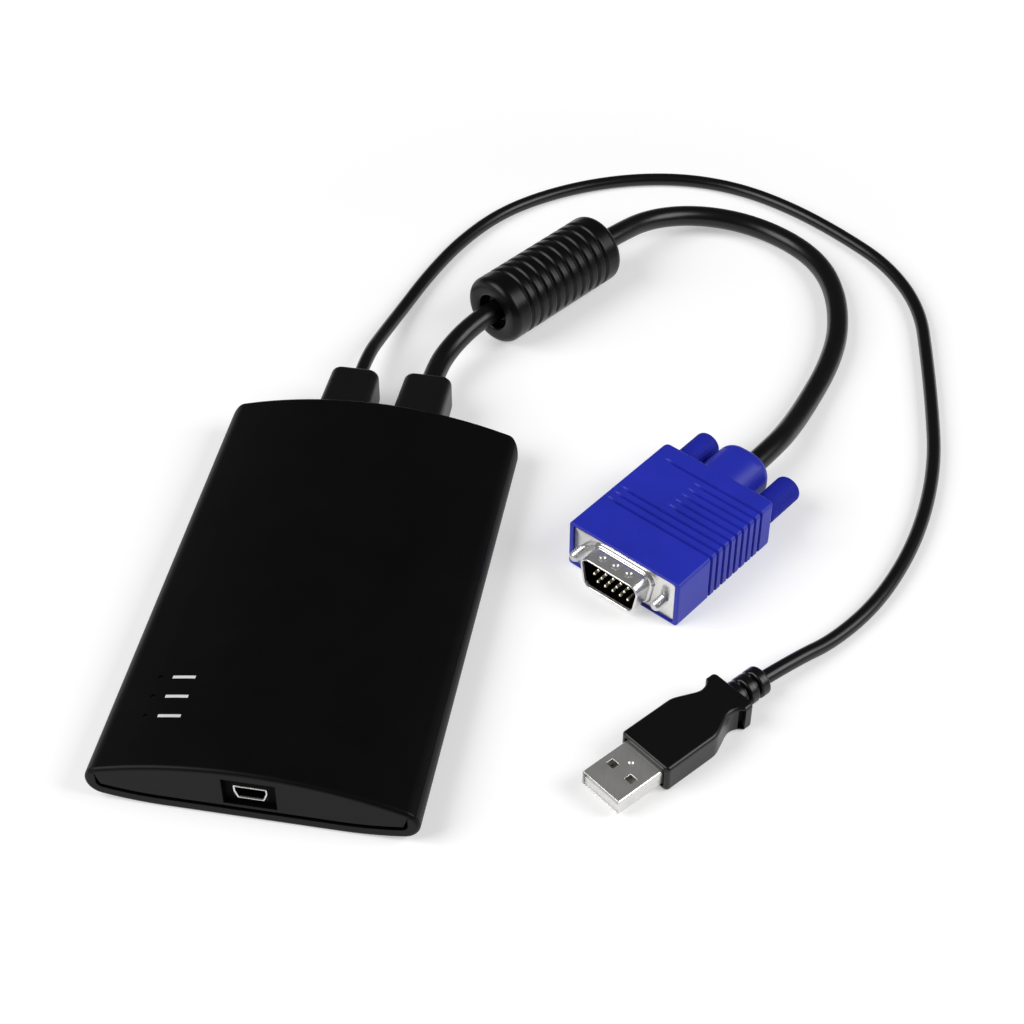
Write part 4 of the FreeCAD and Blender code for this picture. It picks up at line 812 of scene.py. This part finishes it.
# %% Panel tips
def tip_rings(side):
    """Two equal outlines along Y: up the slanted side, where x grows with a power of the height, and back."""
    inner, root, width, low, high = 33.7, 33.85, 1.2, 5.0, 8.5
    share = np.linspace(0, 1, 12)
    slant = np.column_stack([root + width * share**0.8, low + (high - low) * share])
    section = np.concatenate([slant, [[inner, high], [inner, low]]]) * (side, 1)
    return along_y(np.stack([section, section]), [-61.97, -60.5])


make_piece("panel_tips", [(tip_rings(side), False) for side in (-1, 1)], CASE)

# %% [markdown]
# ## Marks beside the lamps
# Each of the three lamps has one short plain tick beside it, in white ink. A mask in the paint could draw
# the ticks, but then the bare mesh would lack them. So a tick is a flat bar that follows the crown of the
# case: its height at each place is the crown's circle.

# %% Ticks
def tick_rings(y):
    """Thin rounded rectangles along X, each lifted to the circle of the crown."""
    crown, top, count = 111.977, 15.3, 14
    along = np.linspace(-24.6, -19.2, count)[:, None]
    height = top - crown + np.sqrt(crown**2 - along**2)
    rings, _ = rounded(np.full(count, 0.42), 0.03, 0.02, (6, 2, 6, 2), 2)
    across, up = rings[..., 0], rings[..., 1]
    return np.stack([along + 0 * across, y + across, height + up], axis=-1)


tick_shells = [(tick_rings(y), False) for y in (-47.0, -41.2, -35.4)]
make_piece("lamp_ticks", tick_shells, PRINT)

# %% [markdown]
# ## Stage and light
# The photograph was taken on a white sweep in a dim room, between two large soft lamps. The sides of each
# piece mirror the white floor, and the tops mirror the dim room, which is why they look so dark. The floor's
# colour alone would come out grey, so what the camera and glossy surfaces see of it is part white glow and
# part lit floor, which keeps the shadow. Away from the object the camera sees more and more of the glow, and
# past the floor's edge a white room, so that the sweep has no horizon. The lamps stay at a plain level.

# %% Floor
reach, stage_middle = 4.0, (0.054, 0.066, 0.0)
lit_share_near, glow_mirrored = 0.75, 0.32
floor_corners = [(-reach, -reach, 0), (reach, -reach, 0), (reach, reach, 0), (-reach, reach, 0)]
floor_mesh = bpy.data.meshes.new("floor")
floor_mesh.from_pydata(floor_corners, [], [(0, 1, 2, 3)])
floor = bpy.data.objects.new("floor", floor_mesh)
bpy.context.scene.collection.objects.link(floor)
paper = bpy.data.materials.new("white_sweep")
paper.use_nodes = True
paper.node_tree.nodes.clear()
sweep = Graph(paper.node_tree)
lit = sweep.node("ShaderNodeBsdfDiffuse", {}, {"Color": (0.93, 0.93, 0.93, 1.0)})
glow = sweep.node("ShaderNodeEmission", {}, {"Strength": 1.57})
seen = sweep.node("ShaderNodeLightPath", {}, {}, "Is Camera Ray")
mirrored = sweep.node("ShaderNodeLightPath", {}, {}, "Is Glossy Ray")
place = sweep.node("ShaderNodeTexCoord", {}, {}, "Object")
away = sweep.node("ShaderNodeVectorMath", {"operation": "DISTANCE"}, {0: place, 1: stage_middle}, "Value")
fade = {"Value": away, "From Min": 0.13, "From Max": 0.4, "To Min": 1.0, "To Max": 0.0}
near = sweep.node("ShaderNodeMapRange", {"interpolation_type": "SMOOTHSTEP"}, fade)
glow_share = (1 - lit_share_near * near) * seen | glow_mirrored * mirrored
mixed = sweep.node("ShaderNodeMixShader", {}, {0: glow_share, 1: lit, 2: glow})
sweep.node("ShaderNodeOutputMaterial", {}, {"Surface": mixed})
floor_mesh.materials.append(paper)
print("floor", reach, "m each way")

# %% Lamps and room
world = bpy.data.worlds.new("studio")
bpy.context.scene.world = world
world.use_nodes = True
world.node_tree.nodes.clear()
room = Graph(world.node_tree)
past_floor = room.node("ShaderNodeLightPath", {}, {}, "Is Camera Ray")
air = room.node("ShaderNodeBackground", {}, {"Color": (1, 1, 1, 1), "Strength": 0.1 + 0.9 * past_floor})
room.node("ShaderNodeOutputWorld", {}, {"Surface": air})


LAMP_AIM = Vector((0.06, 0.06, 0.0))


def softbox(name, place, size, power):
    """A square lamp at a place, turned to face the middle of the object."""
    lamp = bpy.data.lights.new(name, "AREA")
    lamp.shape = "SQUARE"
    lamp.size, lamp.energy = size, power
    holder = bpy.data.objects.new(name, lamp)
    holder.location = place
    holder.rotation_euler = (holder.location - LAMP_AIM).to_track_quat("Z", "Y").to_euler()
    bpy.context.scene.collection.objects.link(holder)
    print(name, place, power)


softbox("right_lamp", (1.0, 0.0, 0.75), 0.7, 9)
softbox("left_lamp", (-0.85, -0.4, 0.85), 0.9, 14.2)

# %% [markdown]
# ## The leads
# Each lead has its boot, its plug and, on the thick one, its bead. This last cell prints the leads' names.

# %% Cords
print("cords declared:", usb_lead.name, vga_lead.name)
